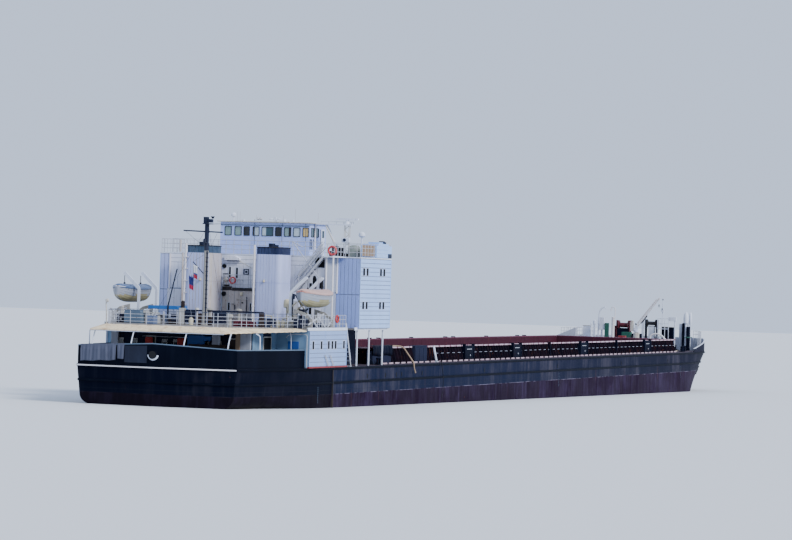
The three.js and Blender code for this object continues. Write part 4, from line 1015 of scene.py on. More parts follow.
# Cords: the discharge hose and a rope end, on the routes of their solids
def buildCords():
    for looks in (hoseLooks, ropeLooks):
        path = smoothPath(looks["route"], 97)
        piece = addPiece(looks["name"], [tube(path, looks["diameter"] / 2, 12,
                                              guide=(1, 0.2, 0.1))],
                         looks["paint"], replaces=looks["node"], slot=looks["slot"])


# Stern bulwark: a thin plate round the transom with a rounded cap, its mooring ring and
# leaning stanchions
bulwarkLooks = {"base": levels["mainDeck"], "top": 683, "middleTop": 712, "thick": 7}


def sternLine(z, inset=4.0):
    xs = np.array([988, 900, 800, 700, 600, 500, 400, 300, 200, 140, 84.0])
    port = np.column_stack([xs, deckHalf(xs) - inset])
    inner = np.array([[4 + 80 * k, deckHalf(4 + 80 * k) - inset] for k in (0.75, 0.5, 0.25)])
    port = np.vstack([port, inner])
    loop = np.vstack([port, [[5, 0]], (port * [1, -1])[::-1]])
    rise = np.clip(1 - np.abs(loop[:, 1]) / hullLines["transomHalf"], 0, 1) * (loop[:, 0] < 100)
    return np.column_stack([loop, z + rise * (bulwarkLooks["middleTop"] - bulwarkLooks["top"])
                            * (z > 600)])


def buildSternBulwark():
    corner = hullLines["transomHalf"]
    top, base, thick = bulwarkLooks["top"], bulwarkLooks["base"], bulwarkLooks["thick"]
    high, low = sternLine(top), sternLine(base)
    slopes = np.gradient(high[:, :2], axis=0)
    inward = np.column_stack([slopes[:, 1], -slopes[:, 0], 0 * slopes[:, 0]])
    inward *= thick / np.linalg.norm(inward, axis=1, keepdims=True)
    inward *= np.sign(np.sum(inward * (np.array([450, 0, 0]) - high), axis=1))[:, None]
    wall = gridShape(np.stack([low, high, high + inward, low + inward], axis=1), loopV=True,
                     capU=True, flip=True)
    cap = tube(high + inward / 2 + [0, 0, 1], 5.0)
    ribs = []
    for k in range(3, len(high) - 3, 2):
        foot, crown = low[k] + inward[k] * 1.2, high[k] + inward[k] * 1.2
        ribs.append([*foot, *(foot + inward[k] * 5), *crown])
    knees = rods([[(r[3], r[4], base), (r[6], r[7], top - 20)] for r in ribs], 3.0)
    addPiece("stern_bulwark_plate", [wall, knees], "bulwarkDark", replaces="stern_bulwark")
    addPiece("stern_bulwark_cap", [cap], "cabinetBlue", slot="hull_paint")
    turn = np.linspace(0, 2 * np.pi, 29)[:-1]
    ring = np.column_stack([0 * turn + 6, 32 * np.cos(turn), 632 + 32 * np.sin(turn)])
    addPiece("mooring_ring", [tube(ring, 5.5, 10, guide=(1, 0, 0), loop=True)], "bulwarkDark")
    # A white arc round the lower half of the ring: painted highlight on its lit lower rim, while
    # the upper rim stays dark.
    low = np.radians(np.linspace(-172, -4, 24))
    rim = np.column_stack([0 * low + 7.2, 36 * np.cos(low) - 4, 636 + 36 * np.sin(low)])
    addPiece("mooring_ring_painted_highlight", [tube(rim, 7.6, 10, guide=(1, 0, 0))], "whiteTrim")
    # A dark disc fills the ring's opening: painted shade inside the hole.
    addPiece("mooring_ring_painted_shade", [revolved([(0.5, -4), (29, -4), (29, 9), (0.5, 9)], (3, 0, 632),
                                            24, axis="x")],
             "ventDark", slot="hull_paint")
    y = np.linspace(46, 231, 14)
    foot, crown = (sternLine(z)[:, :2] for z in (572, 684))
    foot, crown = (edge[(edge[:, 0] < 120) & (np.abs(edge[:, 1]) < 640)] for edge in (foot, crown))
    foot, crown = (np.interp(y, *edge[np.argsort(edge[:, 1])][:, ::-1].T) for edge in (foot, crown))
    rows = [(foot - 2, 572 + 0 * y), (crown - 2, 684 + 14 * (1 - y / corner)),
            (crown + 2, 684 + 14 * (1 - y / corner)), (foot + 2, 572 + 0 * y)]
    board = gridShape(np.stack([np.column_stack([a, y, b]) for a, b in rows], axis=1), loopV=True,
                      capU=True)
    addPiece("blank_name_panel", [board], "slatePanel")
    stays = []
    for y in (510, 185, -226, -552):
        footX = 9 + 80 * abs(y) / corner
        route = [(footX, y, 640), (footX + 3, y, 700), (footX + 26, y, 756), (footX + 44, y, 786),
                 (footX + 56, y, 800)]
        stays.append(tube(smoothPath(route, 18), 4.3, guide=(0, 1, 0)))
    edge = float(deckHalf(385))
    for s in (1, -1):
        route = [(385, s * (edge - 17), 648), (385, s * (edge - 17), 760),
                 (381, s * (edge - 22), 788), (370, s * (edge - 44), 803)]
        stays.append(tube(smoothPath(route, 18), 4.3, guide=(0.7, 0.7, 0)))
    addPiece("awning_stanchions", stays, "whiteTrim", slot="rail_steel")
    edge = [(76, y, 796) for y in (520, 0, -520)]
    addPiece("awning_edge_pipe", [rods([[edge[0], edge[1]], [edge[1], edge[2]]], 3.6, 8)],
             "whiteTrim", slot="rail_steel")


# Grey covers lashed over the port half of the stern bulwark, hanging down its outside in
# loose folds
tarpLooks = [{"name": "bulwark_cover_outer", "from": 600, "to": 300, "drop": 122, "wave": 4.2,
              "seed": 0.4},
             {"name": "bulwark_cover_inner", "from": 292, "to": 232, "drop": 112, "wave": 3.4,
              "seed": 2.1}]


def buildTarps():
    base, corner = bulwarkLooks["top"], hullLines["transomHalf"]
    hump = bulwarkLooks["middleTop"] - base
    for looks in tarpLooks:
        y, v = crossed(np.linspace(looks["from"], looks["to"], 60), np.linspace(0, 1, 26))
        wave, seed, over = looks["wave"], looks["seed"], 16.0
        x = 5 + 79 * y / corner
        top = base + hump * np.clip(1 - y / corner, 0, 1) + 5
        run = v * (over + looks["drop"])
        inside, down = np.clip(over - run, 0, over), np.clip(run - over, 0, None)
        fold = wave * np.sin(y / 11.0 + seed) + 0.7 * wave * np.sin(y / 4.9 + 2 * seed)
        depth = np.clip(down / 40, 0, 1)
        out = x + inside - 4.5 - 1.5 * depth + (fold - wave * 1.4) * depth * 0.7
        height = top + 3.0 - down + 2.2 * np.sin(y / 21) * depth
        slack = 5 * np.sin(y / 37.0 + seed) * v
        points = np.stack([np.maximum(out, 0.6), y + slack, height], axis=-1)
        cloth = addPiece(looks["name"], [gridShape(points)], "tarpGrey", crease=75)
        thicken(cloth, 0.0012, offset=1.0)


# Bow bulwark: it rises towards the stem under a broad white cap
bowLooks = {"aft": 12520, "slope": 820, "low": 586, "rise": 100, "thick": 7, "middle": 13100}


def buildBowBulwark():
    looks = bowLooks
    xs = np.concatenate([np.linspace(looks["aft"], looks["aft"] + looks["slope"], 12),
                         np.linspace(13400, 13640, 8), np.linspace(13660, 13800, 16)])
    rise = looks["low"] + np.clip((xs - looks["aft"]) / looks["slope"], 0, 1) * looks["rise"]
    half = deckHalf(xs) - 3
    starboard = np.column_stack([xs, -half, rise])
    high = np.vstack([starboard, (starboard * [1, -1, 1])[::-1]])
    low = high * [1, 1, 0] + [0, 0, levels["mainDeck"]]
    inward = (np.array([looks["middle"], 0, 0]) - high) * [1, 1, 0]
    inward *= looks["thick"] / np.linalg.norm(inward, axis=1, keepdims=True)
    wall = gridShape(np.stack([low, high, high + inward, low + inward], axis=1), loopV=True,
                     capU=True)
    addPiece("bow_bulwark_plate", [wall], "hullSides", replaces="bow_bulwark")
    inner = [low + inward * 1.02, high + inward * 1.02, high + inward * 1.3, low + inward * 1.3]
    addPiece("bow_bulwark_lining", [gridShape(np.stack(inner, axis=1), loopV=True, capU=True)],
             "bulwarkInner")
    ribs = [[*(low[k] + inward[k] * 1.3)[:2], 552, *(high[k] + inward[k] * 1.3)]
            for k in range(1, len(high) - 1, 2)]
    stiff = rods([[(a, b, c), (d, e, f)] for a, b, c, d, e, f in ribs], 3.2)
    addPiece("bow_bulwark_ribs", [stiff], "bulwarkInner")
    cap = [(-6.5, -2), (-6.5, 3), (6.5, 3), (6.5, -2)]
    addPiece("bow_bulwark_cap", [swept(cap, high + inward * 0.4)], "whiteTrim")


buildCords()
buildSternBulwark()
buildTarps()
buildBowBulwark()
print("bulwarks, cords and covers done")


# Boat deck: a flat plate over the houses and, aft, a sun-bleached skirt that slopes out to
# the awning edge
deckLooks = {"outer": [(70, 530), (350, 610), (660, 715), (960, 812)],
             "inner": [(165, 445), (420, 570), (690, 668), (960, 735)], "edgeLow": 799,
             "edgeHigh": 806, "top": 842, "under": 830, "well": (1792, 1950, 735), "fore": 2700}


def buildBoatDeck():
    looks = deckLooks
    inner = looks["inner"]
    aft, fore, well = looks["well"]
    outline = [(960, 735), (960, 822), (aft, 822), (aft, well), (fore, well), (fore, 822),
               (looks["fore"], 822)]
    port = [(165, 445), (420, 570), (690, 668)] + outline
    whole = port + [(x, -y) for x, y in port[::-1]]
    addPiece("boat_deck_plate", [prism(whole, looks["under"], looks["top"])], "deckPaint",
             replaces="boat_deck")

    def around(points):
        points = np.array(points, float)
        line = np.vstack([points[::-1], points * [1, -1]])
        at = np.linspace(0, len(line) - 1, 240)
        return np.column_stack([np.interp(at, np.arange(len(line)), line[:, k]) for k in (0, 1)])

    outer, near = around(looks["outer"]), around(inner) * [1, 0.98] + [4, 0]
    v = np.array([0, 0.0, 0.04, 0.12, 0.3, 0.5, 0.7, 0.88, 1.0])
    plan = outer[:, None] + (near - outer)[:, None] * v[None, :, None]
    u = np.arange(240)[:, None]
    lift = 22 * np.clip((outer[:, :1] - 70) / 890, 0, 1)
    edge = looks["edgeHigh"] + lift
    height = edge + (looks["top"] + 1.5 - edge) * v[None, :] ** 0.9
    height = (height + 1.6 * np.sin(u / 3.1) * np.sin(np.pi * v)[None, :]
              + 0.8 * np.sin(u * 1.7 + 3 * v[None, :]))
    height[:, 0] = looks["edgeLow"] + lift[:, 0] + 1.2 * np.sin(u[:, 0] * 0.9)
    top = gridShape(np.concatenate([plan, height[..., None]], axis=-1), flip=True)
    under = np.stack([plan[:, 0], plan[:, -1]], axis=1)
    rise = np.stack([looks["edgeLow"] + 1 + lift, np.full((240, 1), looks["under"])], axis=1)
    low = np.concatenate([under, rise], axis=-1)
    addPiece("awning_skirt", [top, gridShape(low)], "skirtTan", crease=60)
    posts = [[x - 5.5, x + 5.5, *across(s, 799, 810), 550.5, 831] for x in (2060, 2330, 2640)
             for s in (1, -1)]
    addPiece("deck_pillars", [boxes(posts)], "whiteTrim", bevel=0.0015)
    rim = [[x0, x1, *across(s, 818, 824), 828, 850]
           for x0, x1 in ((960, aft), (fore, looks["fore"])) for s in (1, -1)]
    addPiece("deck_edge_bar", [boxes(rim)], "whiteTrim")


# Main deckhouse under the boat deck, and the two fresh-painted side houses, whose planks take a
# darker copy of the white as painted shade
def buildMainHouses():
    restyle("main_deckhouse", "shadowGrey")
    for side, s in bothSides:
        restyle(f"side_house_{side}", "seamShade")
        shapes = [planks("y", s * 820, s, (997, 1785), 560, 827, 33.4, gap=4.5)]
        shapes += [boxes([[997, 1003, *across(s, 817, 825), 556, 829],
                          [1779, 1788, *across(s, 815, 825), 556, 829],
                          [1326, 1331, *across(s, 820, 824.5), 556, 829]])]
        shapes.append(planks("x", 1785, 1, across(s, 565, 818), 556, 827, 42, standing=True))
        addPiece(f"side_house_cladding_{side}", shapes, "sideWhite", bevel=0.0008)
        sill = boxes([[990, 1792, *across(s, 814, 829), 550.5, 562]])
        addPiece(f"side_house_sill_{side}", [sill], "redPaint")
        rows = [(x - 21, x + 21, 690, 750) for x in (1072, 1243, 1396, 1472, 1541, 1720)]
        bars, panes = framedPanes("y", s * 820, s, rows)
        addPiece(f"side_house_frames_{side}", [bars], "whiteTrim")
        addPiece(f"side_house_glass_{side}", [panes], "slotDark")
        aft = boxes([[994, 997.5, *across(s, 563, 817), 556, 829]])
        passage = boxes([[884, 997, *across(s, 559, 562), 556, 829]])
        addPiece(f"passage_wall_{side}", [aft, passage], "seaGreen")
        board = boxes([[990, 994.5, *across(s, 655, 740), 690, 746]])
        addPiece(f"blank_board_{side}", [board], "boardBlue", bevel=0.0008)
        pipe = smoothPath([(992, s * 640, 770), (985, s * 655, 788), (985, s * 690, 797),
                           (985, s * 770, 799), (985, s * 800, 797), (985, s * 808, 780),
                           (985, s * 808, 700), (985, s * 808, 556)], 36)
        pipeRuns = [tube(pipe, 3, guide=(1, 0, 0))]
        pipeRuns.append(tube(smoothPath([(900, s * 700, 829), (900, s * 712, 790),
                                         (900, s * 716, 700), (900, s * 716, 680)], 12), 3,
                             guide=(1, 0, 0)))
        addPiece(f"passage_pipes_{side}", pipeRuns, "railPaint")
        steps = []
        for x0, x1 in ((1322, 1392), (1427, 1500)):
            steps.append([(x0, s * 828, 646), (x1, s * 834, 562)])
            steps.append([(x0 - 22, s * 828, 646), (x1 - 22, s * 834, 562)])
            for k in range(1, 6):
                x, z = x0 + (x1 - x0) * k / 6, 646 - 84 * k / 6
                steps.append([(x, s * 831, z), (x - 22, s * 831, z)])
        addPiece(f"side_steps_{side}", [rods(steps, 2.4)], "railPaint")
        door = boxes([[736, 880, *across(s, 559, 563), 556, 770]])
        frames = boxes([[728, 736, *across(s, 559, 566), 556, 778],
                        [880, 888, *across(s, 559, 566), 556, 778],
                        [728, 888, *across(s, 559, 566), 770, 778]])
        addPiece(f"passage_doorway_{side}", [door], "ventDark")
        addPiece(f"passage_door_frame_{side}", [frames], "oldWhite")
        wall = planks("y", s * 560, s, (522, 724), 552, 828, 50, standing=True, gap=3)
        addPiece(f"deckhouse_side_{side}", [wall], "seaGreen")
    aft = [planks("x", 520, -1, (-556, 556), 552, 828, 92, standing=True, gap=3)]
    addPiece("deckhouse_aft_wall", aft, "shadowGrey", slot="white_paint")
    rows = [(y - 34, y + 34, 560, 755) for y in (-420, -95, 240)]
    bars, panes = framedPanes("x", 517, -1, rows, bar=6, proud=8, pane=5)
    addPiece("aft_door_frames", [bars], "oldWhite")
    addPiece("aft_doors", [panes], "doorBrown")
    rows = [(y - 16, y + 16, 690, 735) for y in (-510, -300, -200, 40, 130, 370, 480)]
    bars, panes = framedPanes("x", 517, -1, rows, bar=4, proud=7, pane=5)
    addPiece("aft_window_frames", [bars], "oldWhite")
    addPiece("aft_windows", [panes], "darkGlass")
    # Stores kept in the shade under the awning
    drums = [revolved([(17, 0), (18, 2), (17.4, 20), (18, 22), (17.4, 40), (18, 56), (17, 58)],
                      (430, y, 551), 18)
             for y in (-250, -212)]
    addPiece("shade_drums", drums, "boardBlue")
    addPiece("shade_lockers", [boxes([[400, 470, 285, 375, 551, 640],
                                      [410, 500, -400, -330, 551, 625]])], "oldWhite", bevel=0.002)
    stores = {"boardBlue": [[456, 484, -205, -74, 640, 776], [460, 484, -259, -203, 736, 771]],
              "bulwarkInner": [[458, 480, -328, -267, 690, 782], [500, 516, -556, -473, 551, 829],
                               [500, 516, 498, 556, 551, 829]],
              "doorBrown": [[440, 484, -379, -91, 551, 712]],
              "boardTan": [[490, 506, -474, -440, 551, 829]]}
    for paint, rows in stores.items():
        addPiece(f"shade_stores_{paint[:5].lower()}", [boxes(rows)], paint, slot="navy_paint",
                 bevel=0.003)
    suits = []
    for y in (262, 234, 5, -22):
        outline = np.array([(y - 13, 640), (y - 15, 700), (y - 17, 742), (y - 6, 752), (y + 6, 752),
                            (y + 16, 740), (y + 14, 700), (y + 12, 640)])
        suits.append(prism(outline, 488, 500, axis="x"))
    addPiece("hung_float_vests", suits, "orangeRing", bevel=0.003)
    addPiece("vest_rail", [rods([[(494, -60, 756), (494, 300, 756)]], 2.5)], "railPaint")


# Tiers two and three, the towers and the wheelhouse
towerLooks = {"aft": 2010, "fore": 2700, "inner": 665, "outer": 835, "base": 843, "top": 1380,
              "split": 1100, "slots": [(2058, 2105), (2136, 2183), (2441, 2488), (2517, 2564)],
              "slotRows": [(1249, 1306), (991, 1048)]}


def buildTowers():
    looks = towerLooks
    for side, s in bothSides:
        restyle(f"tower_{side}", "seamShade")
        inner, outer = s * looks["inner"], s * looks["outer"]
        base, top = looks["base"], looks["top"]
        fresh = [planks("y", outer, s, (2012, 2698), base, top - 2, 33.6, gap=4.5)]
        edge = sorted((outer, outer + s * 5))
        fresh.append(boxes([[2006, 2013, *edge, base, top], [2697, 2703, *edge, base, top]]))
        addPiece(f"tower_side_cladding_{side}", fresh, "freshWhite", bevel=0.0008)
        span = sorted((inner, outer))
        wide = sorted((s * 641, outer))
        rear = [planks("x", looks["aft"], -1, wide, base, looks["split"] - 3, 32.3, standing=True,
                       gap=3.6, proud=4),
                planks("x", looks["aft"], -1, wide, looks["split"] + 3, top - 2, 32.3,
                       standing=True, gap=3.6, proud=4),
                boxes([[looks["aft"], looks["aft"] + 3, *sorted((s * 641, inner)), base, top]])]
        # The starboard tower's aft planks take the darker copy of the white as painted shade; the
        # port tower's stay light.
        addPiece(f"tower_rear_cladding_{side}", rear, "towerAft" if s < 0 else "funnelShell",
                 bevel=0.0008)
        plain = [planks("x", looks["fore"], 1, span, base, top - 2, 18.9, standing=True, gap=3),
                 planks("y", inner, -s, (2012, 2698), base, top - 2, 38, standing=True, gap=3.4)]
        addPiece(f"tower_end_cladding_{side}", plain, "whiteWall" if s < 0 else "funnelShell",
                 bevel=0.0008)
        pipes = rods([[(looks["aft"] - 10, s * 648, 1106), (looks["aft"] - 10, s * 648, 1378)],
                      upright(1754, s * 645, 1112, 1378)], 7, 10)
        addPiece(f"tower_pipes_{side}", [pipes], "lineWhite")
        rows = [(a, b, z0, z1) for a, b in looks["slots"] for z0, z1 in looks["slotRows"]]
        bars, panes = framedPanes("y", outer, s, rows, bar=2.5, proud=4.8)
        addPiece(f"tower_slot_frames_{side}", [bars], "whiteTrim")
        addPiece(f"tower_slot_glass_{side}", [panes], "slotDark")


def buildTiers():
    restyle("tier_two_house", "seamShade")
    restyle("tier_three_house", "seamShade")
    aft = [planks("x", 1705, -1, (-640, -182), 846, 1106, 58, standing=True, gap=2.5),
           planks("x", 1705, -1, (182, 640), 846, 1106, 58, standing=True, gap=2.5),
           planks("x", 1762, -1, (-636, 640), 1114, 1312, 60, standing=True, gap=2.5),
           planks("x", 1762, -1, (-575, 640), 1314, 1378, 32, gap=2.5),
           planks("x", 2690, 1, (-636, 636), 846, 1378, 64, standing=True, gap=2.5)]
    addPiece("tier_cladding", aft, "tierWall", bevel=0.0006)
    addPiece("tier_middle_cladding", [planks("x", 1705, -1, (-180, 180), 846, 1106, 51,
                                             standing=True, gap=2.5)], "stoneWall", bevel=0.0006)
    # The tiers' side planks take a darker grey-white: painted shade.
    flanks = [planks("y", s * 640, s, (x, x1), z, z1, 24, standing=True, gap=3) for s in (1, -1)
              for x, x1, z, z1 in ((1708, 2004, 846, 1106), (1765, 2004, 1114, 1372))]
    addPiece("tier_flank_cladding", flanks, "sideStone", bevel=0.0006)
    bars, panes = framedPanes("x", 1759, -1, [(134, 150, 1205, 1286), (76, 92, 1203, 1282)],
                              bar=2.5, proud=4, pane=3)
    low = framedPanes("x", 1702, -1, [(112, 128, 952, 1012), (-66, -54, 952, 1012)], bar=2.5,
                      proud=4, pane=3)
    rows = [(y - 24, y + 24, 856, 1040) for y in (420, -430)]
    doors = framedPanes("x", 1702, -1, rows, bar=4, proud=6, pane=4)
    front = framedPanes("x", 2693, 1, [(y - 30, y + 30, z, z + 62) for y in range(-480, 500, 160)
                                       for z in (960, 1190)], bar=5)
    addPiece("tier_window_frames", [bars, low[0], doors[0], front[0]], "whiteTrim")
    addPiece("tier_dark_panes", [panes, low[1]], "slotDark")
    addPiece("tier_front_panes", [front[1]], "darkGlass")
    addPiece("tier_doors", [doors[1]], "oldWhite")
    vents = [revolved([(0.5, -5), (17, -5), (17, 7), (12, 9), (0.5, 9)], (1757, 190, 1292), 18,
                      axis="x"),
             revolved([(0.5, -5), (18, -5), (18, 7), (12, 9), (0.5, 9)], (1698, 164, 1079), 18,
                      axis="x"),
             revolved([(0.5, -4), (8, -4), (8, 5), (0.5, 5)], (1700, -352, 1050), 14, axis="x"),
             revolved([(0.5, -4), (6, -4), (6, 4), (0.5, 4)], (1698, 8, 1014), 14, axis="x")]
    addPiece("round_vents", vents, "ventDark")
    # A weather hood over the tier-three wall, with a lamp, a vent panel and pipes beside it
    hood = [prism([(56, 1338), (56, 1352), (98, 1374), (176, 1376), (186, 1366), (186, 1338)], 1736,
                  1762, axis="x")]
    addPiece("tier_hood", hood, "tierWall", bevel=0.002)
    trim = boxes([[1734, 1758, 58, 160, 1333, 1338], [1752, 1757, -16, 28, 1230, 1236],
                  [1752, 1757, -16, 28, 1268, 1274], [1752, 1757, -16, -10, 1236, 1268],
                  [1752, 1757, 22, 28, 1236, 1268], [1752, 1756, -2, 14, 1244, 1260],
                  [1692, 1696, 76, 96, 1000, 1004], [1692, 1696, 66, 72, 960, 996],
                  [1690, 1698, -30, -26, 850, 1060]])
    addPiece("tier_dark_trim", [trim], "shadowGrey", slot="rail_steel")
    lamp = [ball((1690, 14, 1076), 12, 12), ball((1690, 300, 1150), 8, 10),
            boxes([[1690, 1700, 4, 24, 1084, 1094]])]
    addPiece("tier_lamps", lamp, "beigePaint")
    ducts = rods([upright(1752, -100, 1116, 1372), upright(1752, -148, 1116, 1372),
                  upright(1696, -120, 846, 1102), upright(1696, 140, 846, 1060),
                  [(1752, 30, 1190), (1752, 150, 1190)], [(1696, -40, 1040), (1696, 60, 1040)],
                  [(1740, 60, 1336), (1740, -46, 1280)]], 3.2, 8)
    lockers = boxes([[1684, 1702, 96, 168, 846, 936], [1688, 1702, -40, 30, 846, 915]])
    addPiece("tier_ducts", [ducts, lockers], "oldWhite", bevel=0.001)
    search = [revolved([(10, 0), (16, 4), (18, 16), (16, 26), (5, 30)], (1716, 162, 1190), 18,
                       axis="x"), boxes([[1722, 1742, 154, 170, 1116, 1178]])]
    addPiece("tier_searchlight", search, "oldWhite", bevel=0.001)
    bands = [revolved([(17.2, 0), (18.6, 0), (18.6, 5), (17.2, 5)], (1728, 162, 1190), 18,
                      axis="x"),
             boxes([[1718, 1746, 150, 186, 1228, 1236], [1716, 1746, 138, 186, 1140, 1150],
                    [1718, 1722, 176, 184, 1150, 1228]])]
    addPiece("tier_searchlight_bands", bands, "slotDark")
    # The walkway on top of tier two, with its dark edge and open rails
    plate = boxes([[1700, 1762, -176, 176, 1107, 1114], [1697, 1702, -178, 96, 1105, 1128],
                   [1697, 1702, 100, 178, 1112, 1136]])
    addPiece("balcony_plate", [plate], "darkSteel")
    rail = railRun([(1704, -176), (1704, 176)], 1112, [40, 78, 114], 70)
    addPiece("balcony_rail", rail, "railPaint")
    addPiece("balcony_buoy", lifebuoy((1700, 96, 1184), 23), "buoyRed")
    restyle("bridge_deck", "whiteTrim")
    for node in ("bridge_stair", "deck_ladder_port", "deck_ladder_starboard"):
        restyle(node, "railPaint")


# A lifebuoy: a fat ring that stands against a rail, facing aft or to the side
def lifebuoy(centre, radius, axis="x"):
    turn = np.linspace(0, 2 * np.pi, 33)[:-1]
    wide, high = radius * np.cos(turn), radius * np.sin(turn)
    plan = [0 * turn, wide, high] if axis == "x" else [wide, 0 * turn, high]
    guide = (1, 0, 0) if axis == "x" else (0, 1, 0)
    return [tube(np.column_stack(plan) + centre, radius * 0.26, 10, guide=guide, loop=True)]


buildBoatDeck()
buildMainHouses()
buildTowers()
buildTiers()
print("houses and towers done")


# Funnels: a rounded casing with upright ribs, a painted band at the top and a bright
# exhaust pipe outside
funnelLooks = {"aft": 1460, "fore": 1700, "long": 240, "inner": 180, "outer": 392, "base": 843,
               "top": 1445, "bandLow": 1388, "seam": 1172, "corner": 33, "ribPitch": 26.5,
               "ribDeep": 3.2}


def funnelOutline(shrink, ribs):
    looks = funnelLooks
    x0, x1 = looks["aft"] + shrink, looks["aft"] + looks["long"] - shrink
    y0, y1, r = looks["inner"] + shrink, looks["outer"] - shrink, looks["corner"]
    corners = [((x1 - r, y0 + r), -90), ((x1 - r, y1 - r), 0), ((x0 + r, y1 - r), 90),
               ((x0 + r, y0 + r), 180)]
    points = []
    for k, ((cx, cy), start) in enumerate(corners):
        turn = np.radians(start + np.linspace(0, 90, 7))
        out = np.column_stack([np.cos(turn), np.sin(turn)])
        points.append(np.array([cx, cy]) + r * out)
        (nx, ny), _ = corners[(k + 1) % 4]
        ends = points[-1][-1], np.array([nx, ny]) + r * out[-1]
        length = np.linalg.norm(ends[1] - ends[0])
        count = max(1, round(length / looks["ribPitch"]))
        share = (np.arange(count)[:, None] + np.array([0.42, 0.5, 0.58])[None, :]).ravel() / count
        dent = np.tile([0, 1.0, 0], count)
        line = ends[0] + (ends[1] - ends[0]) * share[:, None]
        points.append(line - out[-1] * (dent * looks["ribDeep"] * ribs)[:, None])
    return np.vstack(points)


def buildFunnels():
    looks = funnelLooks

    def skin(plan, rows):
        rings = np.stack([np.column_stack([plan, np.full(len(plan), z)]) for z in rows])
        return gridShape(rings, loopV=True, capU=True, flip=True)

    shell, band, split = funnelOutline(0, 1), funnelOutline(4, 1), looks["seam"]
    for side, s in bothSides:
        parts = [skin(shell, [looks["base"], split - 2]),
                 skin(shell, [split + 2, looks["bandLow"]]),
                 skin(funnelOutline(3, 0), [split - 6, split + 6])]
        piece = addPiece(f"funnel_casing_{side}", sided(parts, s), "funnelShell",
                         replaces=f"funnel_{side}", crease=25)
        piece.data.materials.append(paints["stoneWall"])
        normals = np.empty(3 * len(piece.data.polygons), np.float32)
        piece.data.polygons.foreach_get("normal", normals)
        finish = (s > 0) & (normals.reshape(-1, 3)[:, 1] < -0.6)
        piece.data.polygons.foreach_set("material_index", finish.astype(np.int32))
        addPiece(f"funnel_band_{side}", sided([skin(band,
                                                    [looks["bandLow"] - 3, looks["top"] - 2])], s),
                 "funnelGrey" if s > 0 else "funnelNavy", crease=25)
        rim = funnelOutline(1.5, 0)
        line = np.column_stack([rim, np.full(len(rim), looks["top"] - 2)])
        addPiece(f"funnel_rim_{side}", sided([tube(line[::2], 3.0, 6, loop=True)], s), "darkSteel",
                 slot="navy_paint")
        middle = (looks["inner"] + looks["outer"]) / 2
        pipes = []
        for x, radius, high in ((80, 26, 28), (165, 20, 18)):
            profile = [(radius, -6), (radius, high), (radius - 3, high), (radius - 3, -2)]
            pipes.append(revolved(profile, (looks["aft"] + x, s * middle, looks["top"])))
        addPiece(f"funnel_uptakes_{side}", pipes, "mastBlack")
        pipeTop, pipeFoot = (386, 400) if s > 0 else (-178, -176)
        riser = rods([[(looks["aft"] - 1, pipeFoot, 862),
                       (looks["aft"] - 1, pipeTop, looks["top"] + 12)]], 7.8, 12)
        clips = []
        for z in range(900, 1440, 90):
            pipeY = pipeFoot + (pipeTop - pipeFoot) * (z - 862) / (looks["top"] - 850)
            clips.append([looks["aft"] - 10, looks["aft"] + 36, pipeY - (22 if s > 0 else 9),
                          pipeY + 9, z, z + 5])
        addPiece(f"funnel_riser_{side}", [riser, boxes(clips)], "lineWhite")
        if s > 0:
            duct = rods([[(1456, 404, 850), (1456, 412, 1384)], upright(1456, 432, 1391, 1484),
                         [(1456, 404, 900), (1470, 388, 900)],
                         [(1456, 410, 1330), (1470, 388, 1330)]], 8, 10)
            addPiece("funnel_side_duct", [duct], "stoneWall")
        ladder = [[(looks["fore"] + 9, s * (290 - 16), z), (looks["fore"] + 9, s * (290 + 16), z)]
                  for z in range(870, 1440, 28)]
        ladder += [upright(looks["fore"] + 9, s * (290 + d), 852, 1436) for d in (-16, 16)]
        addPiece(f"funnel_ladder_{side}", [rods(ladder, 1.7, 5)], "railPaint")
        aft = looks["aft"]
        lamp = [ball((aft - 8, s * 262, 1182), 9, 12),
                boxes([[aft - 6, aft + 2, *across(s, 256, 268), 1176, 1196]])]
        addPiece(f"funnel_lamp_{side}", lamp, "beigePaint")


# Wheelhouse: level planks below the windows, round-cornered frames, glass, and a fitted inside
wheelLooks = {"aft": 2100, "fore": 2450, "half": 375, "base": 1390, "top": 1640, "low": 1535,
              "high": 1608, "aftWindows": [(309, 30), (225, 30), (153, 26), (74, 29), (-22, 50),
                                           (-113, 27), (-190, 30), (-266, 30), (-341, 26)],
              # Each aft window's glass is cut into patches of colour: the pale patches are painted
              # reflections.
              "paneShares": [(0, "greenGlass", 0, 1), (1, "greenGlass", 0, 1),
                             (2, "darkGlass", 0, 1), (3, "darkGlass", 0, 0.3),
                             (3, "mistGlass", 0.3, 1), (4, "mistGlass", 0, 0.36),
                             (4, "wheelGlass", 0.36, 1), (5, "darkGlass", 0, 1),
                             (6, "greenGlass", 0, 0.62), (6, "darkGlass", 0.62, 1),
                             (7, "mistGlass", 0, 1)]}


# A window frame with round corners, standing proud of the wall, round an open middle
def roundedFrame(axis, at, out, a0, a1, z0, z1, corner=11, wide=4.5, proud=3.0):
    turn = (np.radians(np.arange(0, 360, 90))[:, None] + np.radians(np.linspace(0, 90, 6))).ravel()
    quarter = np.repeat(np.arange(4), 6)
    cx = np.where((quarter == 0) | (quarter == 3), a1 - corner, a0 + corner)
    cz = np.where(quarter < 2, z1 - corner, z0 + corner)
    rings = []
    for reach, depth in ((corner, 0.0), (corner, proud), (corner - wide, proud),
                         (corner - wide, -1.0)):
        a, z = cx + reach * np.cos(turn), cz + reach * np.sin(turn)
        flat = np.full(24, at + out * depth)
        rings.append(np.column_stack([flat, a, z] if axis == "x" else [a, flat, z]))
    return gridShape(np.stack(rings, axis=1), loopU=True, loopV=True,
                     flip=(out > 0) == (axis == "x"))


